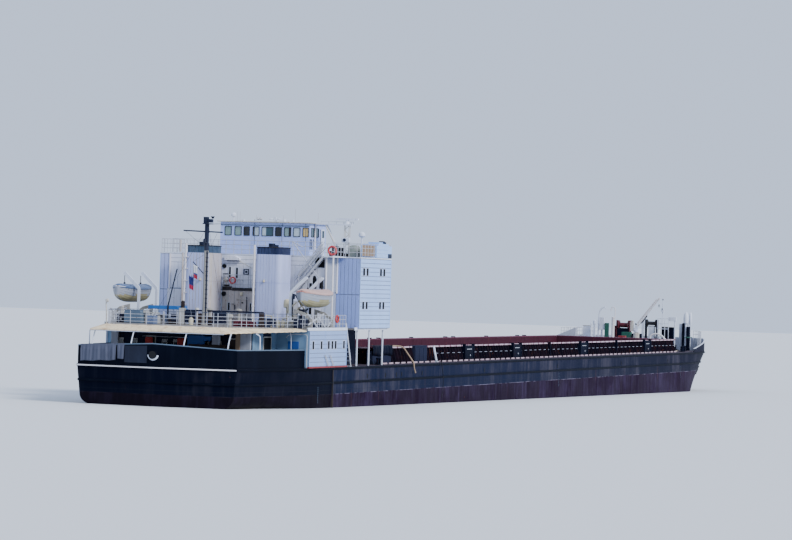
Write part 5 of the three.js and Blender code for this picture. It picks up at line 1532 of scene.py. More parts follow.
def buildWheelhouse():
    looks = wheelLooks
    restyle("wheelhouse", "whiteWall")
    aft, fore, half, low, high = (looks[key] for key in ("aft", "fore", "half", "low", "high"))
    cladding = [planks("x", aft, -1, (-half, half), 1393, low - 8, 31, gap=2.2, proud=1.6)]
    for s in (1, -1):
        cladding.append(planks("y", s * half, s, (aft + 2, 2322), 1393, low - 8, 31, gap=2.2,
                               proud=1.6))
    addPiece("wheelhouse_cladding", cladding, "whiteWall", bevel=0.0005)
    # A dark strip along the top of the aft wall, under the roof's overhang: painted shadow.
    roofShadowStrip = boxes([[aft - 4, aft - 1.5, 6 - half, half - 6, high + 7, high + 13]])
    addPiece("wheelhouse_roof_shadow", [roofShadowStrip], "cabinetBlue", slot="white_paint")
    frames, clear, curtain = [], [], []
    for y, reach in looks["aftWindows"]:
        frames.append(roundedFrame("x", aft, -1, y - reach, y + reach, low, high))
    y, reach = looks["aftWindows"][-1]
    curtain.append([aft + 1.5, aft + 3.5, y - reach + 1, y + reach - 1, low + 1, high - 1])
    for kind in ("greenGlass", "darkGlass", "mistGlass", "wheelGlass"):
        cells = []
        for index, finish, left, right in looks["paneShares"]:
            y, reach = looks["aftWindows"][index]
            span = 2 * (reach - 1)
            if finish == kind:
                cells.append([aft + 1.5, aft + 3.5, y + reach - 1 - right * span,
                              y + reach - 1 - left * span, low + 1, high - 1])
        addPiece(f"aft_panes_{kind}", [boxes(cells)], kind)
    for y in range(-320, 321, 80):
        frames.append(roundedFrame("x", fore, 1, y - 34, y + 34, low - 15, high))
        clear.append([fore - 3.5, fore - 1.5, y - 33, y + 33, low - 14, high - 1])
    for s in (1, -1):
        for x in (2124, 2222):
            frames.append(roundedFrame("y", s * half, s, x, x + 72, low, high))
            clear.append([x + 1, x + 71, *across(s, half - 3.5, half - 1.5), low + 1, high - 1])
    addPiece("wheelhouse_frames", frames, "darkSteel", slot="mast_paint")
    addPiece("wheelhouse_glass", [boxes(clear)], "wheelGlass")
    y, z = crossed(np.linspace(-366, -316, 40), np.linspace(low - 12, high + 4, 8))
    fold = 2.0 * np.sin(y / 2.1) * (0.75 + 0.25 * np.cos((z - low) / 40))
    points = np.stack([aft + 9 + fold, y, z], axis=-1)
    cloth = addPiece("corner_curtain", [gridShape(points)], "curtainYellow", crease=75)
    thicken(cloth, 0.0004)
    addPiece("curtain_pane", [boxes(curtain)], "paleGlass")
    inside = [boxes([[2340, 2420, -240, 240, 1392, 1470], [2350, 2412, -236, 236, 1470, 1482],
                     [2130, 2210, 120, 300, 1392, 1450]])]
    inside.append(boxes([[2290, 2318, y - 14, y + 14, 1440, 1450] for y in (-90, 60)]))
    inside.append(boxes([[2286, 2292, y - 14, y + 14, 1450, 1492] for y in (-90, 60)]))
    inside.append(rods([upright(2304, y, 1392, 1441) for y in (-90, 60)], 5, 8))
    turn = np.linspace(0, 2 * np.pi, 25)[:-1]
    wheel = np.column_stack([0 * turn + 2334, 20 * np.cos(turn), 1480 + 20 * np.sin(turn)])
    inside.append(tube(wheel, 2, 6, guide=(1, 0, 0), loop=True))
    addPiece("bridge_consoles", inside, "shadowGrey", slot="navy_paint", bevel=0.002)
    lip = np.array([(aft - 18, -395), (fore + 30, -395), (fore + 30, 395), (aft - 18, 395)], float)
    roof = [prism(lip, 1640.5, 1647)]
    u, v = crossed(np.linspace(aft - 18, fore + 30, 12), np.linspace(-395, 395, 24))
    roof.append(gridShape(np.stack([u, v, 1647 + 3.4 * (1 - (v / 395) ** 2)], axis=-1)))
    edge = np.column_stack([lip, np.full(4, 1645.0)])
    roof.append(rods(np.stack([edge, np.roll(edge, -1, axis=0)], axis=1), 4.5, 8))
    addPiece("wheelhouse_roof_skin", roof, "oldWhite", replaces="wheelhouse_roof")
    gear = [rods([upright(2180, 300, 1645, 1686)], 6, 10),
            revolved([(7, 0), (19, 2), (21, 8), (20, 20), (12, 30), (3, 33)], (2180, 300, 1684)),
            boxes([[2300, 2320, -60, 60, 1646, 1654], [2302, 2318, -10, 10, 1654, 1690]]),
            *(revolved([(4, 0), (17, 1), (18, 4), (16, 9), (4, 10)], (2310, y, 1668), 18)
              for y in (-34, 34)),
            boxes([[2140, 2170, 196, 216, 1647, 1662], [2128, 2146, -225, -205, 1647, 1668],
                   [2200, 2240, -120, -80, 1648, 1672]])]
    addPiece("roof_gear", gear, "whiteTrim", bevel=0.0012)
    horns = [revolved([(3, 0), (3.5, 14), (6, 24), (12, 31), (13, 33), (2, 30)], (2128, y, 1672),
                      16, axis="x") for y in (60, 84)]
    addPiece("roof_horns", horns, "railPaint", slot="bronze")
    wires = rods([upright(2360, -150, 1648, 1759), upright(2140, 250, 1648, 1725),
                  upright(2390, 330, 1646, 1730), upright(2390, -330, 1646, 1730),
                  upright(2108, 78, 1648, 1700), upright(2108, -150, 1648, 1700)], 1.8)
    addPiece("whip_aerials", [wires], "railPaint")
    # Thin uprights that stand against the aft wall
    uprights = rods([upright(2088, 83, 1391, 1664), upright(2088, -148, 1391, 1650),
                     upright(2088, -345, 1391, 1640)], 2)
    addPiece("wall_conduits", [uprights], "darkRail")
    for side, s in bothSides:
        node = f"sliding_door_{side}"
        restyle(node, "whiteTrim")
        pane = [2340, 2386, *across(s, 381, 384), 1535, 1590]
        addPiece(f"door_pane_{side}", [boxes([pane])], "wheelGlass", body=node)
        addPiece(f"door_gasket_{side}", [roundedFrame("y", s * 385, s, 2342, 2384, 1535, 1590,
                                                      corner=8, wide=3, proud=1.5)],
                 "darkSteel", body=node, slot="mast_paint")


# Bridge rails and the gear on the starboard wing
def buildBridgeGear():
    deck = levels["bridgeDeck"]
    base = 1390
    path = [(1712, -708), (1760, -708), (2012, -708), (2012, -830), (2698, -830), (2706, -640),
            (2706, 640), (2698, 830), (2012, 830), (2012, 640), (1772, 636), (1772, -600)]
    addPiece("bridge_rail_fine", railRun(path, base, [35, 70, 105], 66, post=2.4, bar=1.9),
             "railPaint", replaces="bridge_rail")
    addPiece("wing_lifebuoy", lifebuoy((1706, -714, 1432), 31), "buoyRed")
    locker = [boxes([[2358, 2706, -838, -700, deck, 1486], [2400, 2640, -836, -708, 1486, 1502],
                     [2430, 2520, -830, -740, 1502, 1514]]),
            planks("y", -838, -1, (2362, 2612), 1393, 1484, 31, gap=3, proud=2)]
    addPiece("wing_locker", locker, "freshWhite", bevel=0.003)
    addPiece("wing_locker_lamp", [boxes([[2618, 2704, -840, -820, deck, 1426],
                                         [2560, 2590, -820, -780, 1502, 1524],
                                         [2600, 2622, -820, -780, 1502, 1518]])], "mastBlack",
             bevel=0.002)
    # A squarish bundle that narrows upwards, lobed a little round its sides and closed by a rounded
    # crown; its lashings are not drawn
    v, u = crossed(np.linspace(0, 1, 14), np.linspace(0, 2 * np.pi, 49)[:-1])
    swell = (1 - 0.25 * v**3) * (1 + 0.035 * np.sin(5 * u) * (1 - v))
    crown = np.where(v > 0.86, np.sqrt(np.clip(1 - ((v - 0.86) / 0.15) ** 2, 0.02, 1)), 1)
    x, y = (middle + reach * np.sign(share) * np.abs(share) ** 0.5 * swell * crown
            for middle, reach, share in ((2165, 62, np.cos(u)), (-722, 40, np.sin(u))))
    points = np.stack([x, y, deck + 92 * v], axis=-1)
    cover = addPiece("wing_canvas_cover", [gridShape(points, loopV=True, capU=True, flip=True)],
                     "canvasGrey", crease=70)
    shield = boxes([[x, x + 3, -829, -826, 1402, 1484] for x in range(2070, 2340, 9)])
    addPiece("wing_wind_board", [shield, boxes([[2068, 2342, -828, -825, 1400, 1486]])], "boardTan")
    signal = [boxes([[2166, 2192, -677, -613, 1502, 1540]]),
              rods([upright(2179, -645, deck, 1507)], 6, 8)]
    leg = [upright(x, y, deck, 1634) for x in (2196, 2222) for y in (-624, -662)]
    leg += [[(2196, -624 - 38 * (k % 2), 1395 + 34 * k), (2196, -662 + 38 * (k % 2), 1429 + 34 * k)]
            for k in range(7)]
    addPiece("radar_lattice", [rods(leg, 2.6)], "oldWhite")
    addPiece("wing_speaker_box", signal, "whiteTrim", bevel=0.002)
    addPiece("wing_speaker_mouth", [revolved([(0.5, -3), (13, -3), (13, 3), (0.5, 3)],
                                             (2165, -638, 1521), axis="x")],
             "mastBlack")
    hood = [(6, 0), (19, 4), (26, 12), (27, 22), (22, 36), (10, 44), (2, 46)]
    dome = [rods([upright(2388, -700, deck, 1550)], 6, 10), revolved(hood, (2388, -700, 1546), 22)]
    addPiece("wing_dome_vent", dome, "whiteTrim")
    binnacle = [boxes([[2060, 2095, 640, 690, deck, 1455], [2250, 2330, 690, 790, deck, 1450]])]
    addPiece("port_wing_lockers", binnacle, "whiteTrim", bevel=0.002)
    restyle("radar_platform", "whiteTrim")
    restyle("radar_scanner", "whiteTrim")
    addPiece("radar_rails", railRun([(2178, -688), (2222, -688), (2222, -420)], 1644, [18], 60,
                                    post=1.6, bar=1.5), "railPaint")
    braces = rods([[(x, -474, 1634), (x, -602, deck)] for x in (2184, 2216)], 6, 8)
    rungs = rods([[(2184, -474 - 12.8 * k, 1634 - 24.3 * k),
                   (2216, -474 - 12.8 * k, 1634 - 24.3 * k)] for k in range(1, 10)], 2)
    addPiece("radar_braces", [braces, rungs], "oldWhite", slot="rail_steel")
    addPiece("long_stay", [rods([[(2096, -232, 1500), (1770, -400, 1240)]], 2.2)], "railPaint")
    stair = [rods([[(1733 + d, -420, 1120 + 36 * k), (1733 + d, -634, 1390 + 36 * k)]
                   for d in (-21, 21) for k in (1, 2, 3)], 2.2)]
    hand = rods([[(1733 + d, -440, 1232), (1733 + d, -642, 1454)] for d in (-25, 25)], 4, 8)
    stringers = rods([[(1733 + d, -414, 1112), (1733 + d, -640, 1384)] for d in (-23, 23)], 10, 4)
    treads = boxes([[1712, 1754, y - 12, y + 12, z, z + 4]
                    for y, z in zip(np.linspace(-448, -622, 9), np.linspace(1146, 1368, 9))])
    addPiece("bridge_stair_rails", stair, "railPaint")
    addPiece("bridge_stair_treads", [treads], "darkSteel")
    addPiece("bridge_stair_stringers", [stringers, hand], "railPaint")
    brace = rods([[(1716, -382, 1494), (1716, -643, 1178)],
                  [(1716, -382, 1492), (1716, -470, 1452)]], 3.5, 8)
    addPiece("wing_brace", [brace], "railPaint")
    posts = rods([upright(1742, -655, 1112, 1380), upright(1746, -709, 843, 1380)], 7, 10)
    addPiece("landing_posts", [posts], "lineWhite")
    # Dark blocks and a ball round the stair's foot stand in for the shade there: painted shade.
    dark = boxes([[1690, 1700, -597, -566, 1138, 1219], [1690, 1700, -560, -540, 1112, 1180],
                  [1690, 1700, -652, -622, 1140, 1206], [1700, 1704, -640, -560, 1112, 1126],
                  [1752, 1759, -636, -560, 1300, 1372], [1696, 1702, -560, -540, 846, 1000]])
    addPiece("stair_foot_painted_shade", [dark, ball((1690, -582, 1225), 13, 10)], "slotDark", bevel=0.002)
    # Dark blocks on the starboard wing, partly dark gear: the low strip along the wing's deck and
    # the panels behind its rail are painted shade.
    inner = boxes([[1863, 1990, -664, -650, 1394, 1470], [2000, 2088, -664, -650, 1394, 1462],
                   [2060, 2358, -690, -670, deck, 1416], [1800, 1850, -664, -652, deck, 1430],
                   [2100, 2112, -380, -377, 1440, 1520], [2130, 2142, -380, -377, 1440, 1520],
                   [2166, 2178, -380, -377, 1440, 1520]])
    addPiece("wing_gear_and_painted_shade", [inner], "slotDark", bevel=0.003)
    addPiece("wing_wall_post", [boxes([[2196, 2214, -383, -378, 1440, 1636]])], "lineWhite")
    for side, s in bothSides:
        y = s * 778
        places = zip(np.linspace(1912, 1822, 8), np.linspace(585, 805, 8))
        steps = boxes([[x - 9, x + 9, y - 29, y + 29, z, z + 2.5] for x, z in places])
        addPiece(f"deck_ladder_treads_{side}", [steps], "darkSteel")
        rails = [[(1925, y + d, 600), (1806, y + d, 885)] for d in (-30, 30)]
        rails += [upright(1806, y + d, 842, 885) for d in (-30, 30)]
        addPiece(f"deck_ladder_rails_{side}", [rods(rails, 2.4)], "whiteTrim", slot="rail_steel")


# Boat deck rails and loose gear
def buildBoatDeckGear():
    deck = levels["boatDeck"]
    for side, s in bothSides:
        path = [(1000, s * 724), (985, s * 718), (700, s * 648), (430, s * 548), (185, s * 425),
                (185, s * 4)]
        parts = railRun(path, 842.5, [26, 52, 78, 104], 128, post=2.1, bar=1.5)
        addPiece(f"boat_deck_rail_fine_{side}", parts[:-1], "railPaint",
                 replaces=f"boat_deck_rail_{side}")
        addPiece(f"boat_deck_top_rail_{side}", parts[-1:], "darkRail")
    path = [(1780, -812), (1600, -812), (1180, -812), (1010, -760), (1000, -724)]
    for side, s in bothSides:
        line = [(x, -s * y) for x, y in path]
        addPiece(f"boat_side_rail_{side}", railRun(line, 842.5, [34, 68, 100], 62, post=2.3,
                                                   bar=1.8), "railPaint")
    cabinet = prism([(526, deck), (526, 926), (534, 938), (548, 942), (644, 942), (658, 938),
                     (666, 926), (666, deck)], 962, 1052, axis="x")
    addPiece("rounded_cabinet", [cabinet], "cabinetBlue", bevel=0.003)
    pale = [boxes([[1014, 1062, 474, 518, deck, 934], [1012, 1052, 396, 436, deck, 902],
                   [1010, 1056, 196, 240, deck, 966], [1020, 1030, 444, 468, deck, 915]]),
            rods([[(1016, 392, 920), (1016, 522, 926)], upright(1016, 456, deck, 948)], 5, 8)]
    addPiece("pale_deck_gear", pale, "oldWhite", bevel=0.002)
    addPiece("dark_deck_panels", [boxes([[1014, 1020, 250, 304, 866, 888],
                                         [1014, 1020, 250, 304, 894, 918],
                                         [1014, 1024, 107, 191, 856, 950],
                                         [1014, 1024, -141, -31, 856, 948],
                                         [1014, 1060, -527, -465, 856, 906],
                                         [1030, 1034, -440, 190, 944, 956]])], "shadowGrey",
             bevel=0.001)
    fittings = [boxes([[1004, 1030, -447, -411, 870, 950], [1002, 1034, -449, -409, deck, 872],
                       [1040, 1080, 60, 96, deck, 930], [1044, 1076, -8, 20, deck, 906]]),
                revolved([(12, 0), (15, 4), (15, 52), (9, 60), (2, 62)], (1060, 228, 960), 14),
                rods([upright(1060, 228, deck, 962)], 9, 10)]
    addPiece("brown_deck_fittings", fittings, "doorBrown", slot="beige_paint", bevel=0.002)
    dish = [ball((1450, 276, 952), 16), rods([upright(1450, 276, deck, 940)], 7, 8),
            ball((1010, 709, 869), 14, 12), ball((1010, 700, 962), 11, 12),
            boxes([[1000, 1020, 480, 526, 920, 942], [1004, 1014, 690, 712, deck, 960]])]
    addPiece("pale_deck_balls", dish, "oldWhite", bevel=0.001)
    gear = [boxes([[760, 830, 330, 390, deck, 905]]),
            revolved([(24, 0), (26, 3), (26, 60), (22, 66), (6, 70)], (1230, 460, deck)),
            boxes([[1180, 1260, -430, -330, deck, 900], [1190, 1250, -424, -336, 900, 908]])]
    addPiece("deck_lockers", gear, "shadowBlue", bevel=0.003)
    canopy = boxes([[1000, 1180, 242, 486, 956, 979], [998, 1182, 238, 490, 953, 958]])
    legs = rods([upright(x, y, deck, 957) for x in (1004, 1176) for y in (250, 480)], 3)
    addPiece("blue_canopy_top", [canopy], "canopyBlue", bevel=0.002)
    addPiece("blue_canopy_legs", [legs], "railPaint")
    bench = boxes([[1040, 1140, 300, 340, 880, 886], [1040, 1046, 300, 340, deck, 880],
                   [1134, 1140, 300, 340, deck, 880], [1040, 1140, 400, 450, 905, 911],
                   [1046, 1052, 408, 442, deck, 905], [1128, 1134, 408, 442, deck, 905]])
    addPiece("canopy_bench_table", [bench], "doorBrown", slot="rail_steel", bevel=0.001)
    curve = smoothPath([(420, 560, deck), (420, 562, 940), (420, 566, 985), (414, 560, 1010),
                        (404, 552, 1012)], 24)
    head = revolved([(9, -4), (14, 0), (15, 6), (9, 16), (1, 20)], (402, 552, 1010), 16, axis="x")
    addPiece("stern_cowl_post", [tube(curve, 5, guide=(0, 1, 0)), head], "oldWhite")
    pole = rods([[(1000, 322, 985), (1000, 258, 1258)]], 5, 8)
    foot = rods([[(1000, 326, deck), (1000, 322, 986)]], 7, 8)
    addPiece("stowed_boom", [pole, foot], "mastBlack")
    reds = [boxes([[990, 1040, -380, -345, deck, 880], [990, 1040, -336, -300, deck, 884],
                   [990, 1040, -290, -262, deck, 876], [990, 1040, -250, -212, deck, 882]]),
            rods([[(1010, -376, 874), (1010, -214, 878)]], 7, 10)]
    addPiece("red_deck_gear", reds, "redDark", bevel=0.003)
    black = [boxes([[1290, 1312, -576, -546, 1056, 1097], [1296, 1306, -566, -556, deck, 1056],
                    [1170, 1226, -706, -664, 948, 984], [1176, 1220, -700, -670, deck, 948],
                    [1120, 1150, -300, -255, deck, 900]])]
    addPiece("dark_deck_machinery", black, "mastBlack", bevel=0.002)
    drum = [revolved([(10, 0), (27, 4), (28, 34), (24, 60), (8, 68)], (1300, -518, 988)),
            rods([upright(1300, -518, deck, 990)], 8, 10),
            rods([[(1240, -600, 900), (1240, -655, 1012)], [(1240, -560, 880), (1240, -640, 1000)],
                  [(1240, -655, 1012), (1240, -717, 934)], upright(1240, -690, deck, 940),
                  [(1200, -520, 900), (1200, -600, 940)], upright(1110, -470, deck, 930),
                  [(1110, -470, 926), (1110, -420, 930)], upright(1180, -600, deck, 1010),
                  [(1180, -600, 1000), (1180, -640, 1034)],
                  [(1150, -620, deck), (1190, -560, 1020)]], 5, 8)]
    addPiece("tan_deck_machinery", drum, "beigePaint", bevel=0.001)
    crate = boxes([[1230, 1290, -655, -597, 886, 938], [1236, 1284, -650, -602, deck, 886],
                   [1230, 1270, -728, -706, 920, 946]])
    addPiece("pale_crate", [crate], "cabinetBlue", bevel=0.002)
    bars = rods([[(1236, -606, 1091), (1236, -655, 1012)], upright(1236, -576, deck, 1060),
                 [(1226, -716, 990), (1226, -660, 930)], [(1226, -620, 846), (1226, -560, 960)]],
                5.5, 8)
    addPiece("dark_davit_links", [bars], "mastBlack")
    for side, s in bothSides:
        cross = rods([[(1005, s * 806, 872), (1335, s * 800, 952)],
                      [(1192, s * 806, 930), (1345, s * 812, 850)],
                      [(1010, s * 800, 950), (1180, s * 812, 850)],
                      [(1400, s * 806, 850), (1560, s * 800, 940)]], 6)
        addPiece(f"boat_skid_crosses_{side}", [cross], "railPaint")
        under = boxes([[1000, 1180, *across(s, 690, 740), deck, 912],
                       [1240, 1420, *across(s, 700, 750), deck, 884]])
        addPiece(f"boat_skid_lockers_{side}", [under], "shadowGrey", bevel=0.003)
    pots = [revolved([(15, 0), (17, 4), (17, 44), (13, 52), (4, 56)], (x, y, deck), 16)
            for x, y in ((1120, -520), (1120, -560), (900, 90))]
    addPiece("deck_canisters", pots, "beigePaint")
    vents = []
    for x, y, high in ((1560, -480, 80), (1320, 120, 95), (1320, -120, 95), (640, -330, 60)):
        vents.append(revolved([(13, 0), (13, high), (17, high + 4), (24, high + 10),
                               (26, high + 20), (20, high + 30), (4, high + 34)],
                              (x, y, deck), 18))
    addPiece("mushroom_vents", vents, "mastStone", slot="white_paint")
    addPiece("ladder_lifebuoy", lifebuoy((1566, -822, 915), 25, axis="y"), "orangeRing")
    addPiece("port_lifebuoy", lifebuoy((1800, 826, 905), 25, axis="y"), "orangeRing")


# Aft mast: a tapered pole, its yard, gaff, lamps and stays, and two small limp flags
mastLooks = {"x": 970, "y": 12, "black": 1400, "top": 1640}


def buildAftMast():
    x, m = mastLooks["x"], mastLooks["y"]
    pole = [rods([upright(x, m, 843, mastLooks["black"])], 20, 16, tip=17),
            revolved([(26, 0), (26, 6), (20, 10)], (x, m, 843), 18)]
    addPiece("mast_lower", pole, "mastStone", replaces="aft_mast")
    cable = [rods([[(x - 14, m - 14, 846), (x - 12, m - 12, 1398)]], 6, 8)]
    cable.append(boxes([[x - 18, x - 4, m - 22, m - 4, z, z + 4] for z in range(870, 1396, 34)]))
    addPiece("mast_cable", cable, "mastBlack")
    upper = [rods([upright(x, m, mastLooks["black"], 1600)], 17, 14),
             rods([[(x, 201, 1547), (x, -115, 1539)]], 5.5, 8),
             boxes([[x - 16, x + 16, m - 8, m + 24, 1604, 1652],
                    [x - 16, x + 14, m - 44, m - 6, 1610, 1636]]),
             revolved([(7, 0), (9, 6), (15, 14), (15, 17), (2, 16)], (x, m - 44, 1640), 18),
             boxes([[x - 27, x + 27, m - 39, m + 27, 1597, 1604]]),
             boxes([[x - 55, x - 12, m - 15, m + 15, 1456, 1462]]),
             revolved([(9, 0), (11, 3), (11, 20), (6, 26), (1, 28)], (x - 40, m, 1462), 14)]
    addPiece("mast_upper", upper, "mastBlack")
    gaff = [rods([[(x, m + 5, 1215), (x - 30, 105, 1315)]], 3.6, 8),
            rods([[(x, m, 1380), (x - 30, 105, 1315)]], 0.9, 5)]
    addPiece("mast_gaff", gaff, "mastBlack")
    stays = [[(x, 0, 1590), (600, 300, 846)], [(x, 0, 1590), (600, -300, 846)],
             [(x, 190, 1547), (x, 24, 1420)], [(x, -70, 1528), (x, -22, 1430)],
             [(x, 0, 1596), (2100, 200, 1650)], [(x, 0, 1596), (2100, -200, 1650)]]
    addPiece("mast_stays", [rods(stays, 0.9, 5)], "darkSteel")
    halyard = [[(x - 29, 102, 1312), (x - 26, 98, 1190)], [(x - 26, 98, 1190), (x - 12, 70, 870)],
               [(x - 29, 104, 1312), (x - 24, 139, 1224)],
               [(x - 24, 139, 1224), (x - 22, 133, 1112)], [(x - 22, 133, 1112), (x - 8, 110, 870)]]
    addPiece("flag_halyards", [rods(halyard, 0.8, 5)], "railPaint")
    # Each flag hangs limp: it is gathered along its fly in upright folds whose depth keeps
    # the flat cut's length
    flags = [("stern_flag", "sternFlagCloth", (x - 28, 101, 1290), (x - 26, 97, 1194), 74),
             ("house_flag", "houseFlagCloth", (x - 24, 139, 1222), (x - 22, 133, 1114), 88)]
    for name, paint, top, foot, wide in flags:
        fly, folds, reach = np.linspace(0, 1, 57), 5.5, wide * 0.5
        depths = np.linspace(0.5, 12, 120)
        waves = np.broadcast_arrays(reach * fly, depths[:, None] * np.sin(folds * np.pi * fly))
        depth = np.interp(wide, gridLengths(np.stack(waves, axis=-1), 1), depths)
        u, v = crossed(fly, np.linspace(0, 1, 25))
        hoist = np.array(top) + (np.array(foot) - np.array(top)) * v[..., None]
        wave = np.sin(folds * np.pi * u + 0.5 * v) - np.sin(0.5 * v)
        points = np.stack([hoist[..., 0] + depth * wave * np.minimum(1, 0.5 + 2 * u),
                           hoist[..., 1] - reach * u * (1 - 0.12 * v),
                           hoist[..., 2] - 0.16 * wide * u**1.5 * (1 + 0.25 * v)], axis=-1)
        cloth = addPiece(name, [gridShape(points)], paint, slot="white_paint", crease=80)
        layer = cloth.data.uv_layers.new(name="cloth")
        corner = np.empty(len(cloth.data.loops), np.int32)
        cloth.data.loops.foreach_get("vertex_index", corner)
        grid = np.stack([u, 1 - v], axis=-1).reshape(-1, 2)
        layer.data.foreach_set("uv", grid[corner].astype(np.float32).ravel())
        thicken(cloth, 0.0004)


# Lifeboats: a clinker hull under a laced canvas cover, hung from two falls
boatLooks = {"x": 1280, "y": 745, "half": 285, "beam": 92, "gunwale": 1100, "keel": 1000,
             "strakes": 7}


# Half breadths and heights of a boat's skin, from keel to gunwale at each place along it
def boatForm(along, bend):
    along, bend = crossed(along, bend)
    width = np.interp(along, [-1, -0.94, -0.82, -0.6, -0.2, 0.25, 0.62, 0.84, 0.95, 1],
                      [0.05, 0.3, 0.6, 0.86, 1, 1, 0.84, 0.55, 0.26, 0.04])
    keel, sheer = boatLooks["keel"] + 45 * np.abs(along) ** 4, boatLooks["gunwale"] + 16 * along**2
    return (boatLooks["beam"] * width * np.sin(bend * np.pi / 2) ** 0.75,
            keel + (sheer - keel) * (1 - np.cos(bend * np.pi / 2)) ** 0.9)


def buildLifeboats():
    looks = boatLooks
    along = np.sin(np.linspace(-np.pi / 2, np.pi / 2, 61))
    count = looks["strakes"]
    step = np.sort(np.concatenate([(np.arange(count) + 0.02) / count,
                                   (np.arange(count) + 0.98) / count]))
    lap = np.tile([1.6, 0.0], count)
    for side, s in bothSides:
        mid = s * looks["y"]
        half, height = boatForm(along, step)
        half = half + lap * np.clip(half / 20, 0, 1)
        x = looks["x"] + looks["half"] * along
        port, star = (np.stack([x[:, None] + 0 * half, mid + out * half, height], axis=-1)
                      for out in (1, -1))
        ring = np.concatenate([star[:, ::-1], port], axis=1)
        body = f"lifeboat_{side}"
        shell = addPiece(f"boat_shell_{side}", [gridShape(ring, loopV=True, capU=True)],
                         ["boatCream", "boatTan"], body=body, slot="lifeboat_shell", replaces=body,
                         crease=28)
        centres = np.empty(3 * len(shell.data.polygons), np.float32)
        shell.data.polygons.foreach_get("center", centres)
        shell.data.polygons.foreach_set("material_index",
                                        (centres.reshape(-1, 3)[:, 2] < 1.052).astype(np.int32))
        edge = np.stack([x, mid + half[:, -1] - 1.5, height[:, -1] + 1], axis=1)
        other = edge * [1, 0, 1] + [0, 2 * mid, 0] - edge * [0, 1, 0]
        rims = [tube(edge[1:-1], 4.2), tube(other[1:-1], 4.2)]
        addPiece(f"boat_rubber_{side}", rims, "boatOrange" if s < 0 else "whiteTrim", body=body,
                 slot="lifeboat_shell")
        keel = np.stack([x, mid + 0 * x, height[:, 0] - 1], axis=1)
        addPiece(f"boat_keel_{side}", [tube(keel[2:-2], 3.2, 6)], "boatCream", body=body,
                 slot="lifeboat_shell")
        u, v = crossed(np.linspace(-0.965, 0.965, 90), np.linspace(-1, 1, 31))
        width = np.interp(u, along, half[:, -1])
        ridge = 26 * (1 - 0.35 * u**2) * np.clip((1 - np.abs(u)) * 8, 0.15, 1)
        hoop = 1.6 * np.cos(u * 28) * (1 - v**2)
        drop = np.clip(np.abs(v) - 0.9, 0, None) * 130
        y = mid + width * np.clip(v, -0.9, 0.9) / 0.9 * 1.05
        z = looks["gunwale"] + 16 * u**2 + 4 + ridge * (1 - np.abs(v) ** 1.6) + hoop - drop
        z = z + 1.2 * np.sin(u * 70) * (np.abs(v) > 0.9)
        z = z + 1.7 * np.sin(u * 41 + 5 * v) * np.cos(u * 17 - 7 * v) * (1 - v**2)
        points = np.stack([looks["x"] + looks["half"] * u, y, z], axis=-1)
        # The port boat's cover takes the dark blue copy of the cloth as painted shade.
        cover = addPiece(f"boat_cover_{side}", [gridShape(points)], "boatCoverCloth" if s < 0
                         else "boatCoverBlue", body=body, slot="lifeboat_shell", crease=75)
        thicken(cover, 0.0008, offset=1.0)
        spots = [looks["x"] + spot for spot in (-148.5, 148.5)]
        falls = [upright(spot + d, mid, 1142, 1198) for spot in spots for d in (-4, 0, 4)]
        blocks = [boxes([[spot - 8, spot + 8, mid - 5, mid + 5, 1126, 1146]]) for spot in spots]
        hooks = [upright(spot, mid, 1096, 1128) for spot in spots]
        addPiece(f"boat_falls_{side}", [rods(falls, 1.0, 5), *blocks, rods(hooks, 3)], "darkSteel",
                 body=body)
        lines = []
        for k in range(9):
            u0, u1 = -0.8 + 0.18 * k, -0.8 + 0.18 * (k + 1)
            t = np.linspace(0, 1, 9)
            place = u0 + (u1 - u0) * t
            reach = np.interp(place, along, half[:, -1])
            for out in (1, -1):
                lines.append(tube(np.stack([looks["x"] + looks["half"] * place,
                                            mid + out * (reach + 1.8),
                                            looks["gunwale"] + 16 * place**2 - 8
                                            - 10 * np.sin(np.pi * t)], axis=1), 0.9, 5))
        addPiece(f"boat_grab_lines_{side}", lines, "railPaint", body=body)
        restyle(f"davit_frame_{side}", "mastStone")
        restyle(f"davit_arms_{side}", "whiteTrim")
        wx, wy = looks["x"], s * 647
        winch = [rods([[(wx - 24, wy, 884), (wx + 24, wy, 884)]], 15, 16),
                 rods([[(wx - 28, wy, 884), (wx - 23, wy, 884)],
                       [(wx + 23, wy, 884), (wx + 28, wy, 884)]], 21, 16)]
        addPiece(f"davit_winch_{side}", winch, "darkSteel", slot="bare_steel")
        cradle = []
        for at in (looks["x"] - 215, looks["x"] + 215):
            cradle.append(rods([[(at, s * 668, 968), (at, s * 700, 975)],
                                [(at, s * 760, 948), (at, s * 800, 905)]], 4, 8))
        addPiece(f"boat_chocks_{side}", cradle, "oldWhite")


buildFunnels()
buildWheelhouse()
buildBridgeGear()
buildBoatDeckGear()
buildAftMast()
buildLifeboats()
print("superstructure dressed")


# Foredeck: windlass, hatches, crane, davit post, reel, vents, mast and rails. The ram's
# rows are places
# along the boom and below it
craneLooks = {"foot": (12760, -110), "pivot": 800.0, "reach": 400, "tilt": 52,
              "ram": [(60, 9), (64, 19), (166, 17), (170, 6)]}


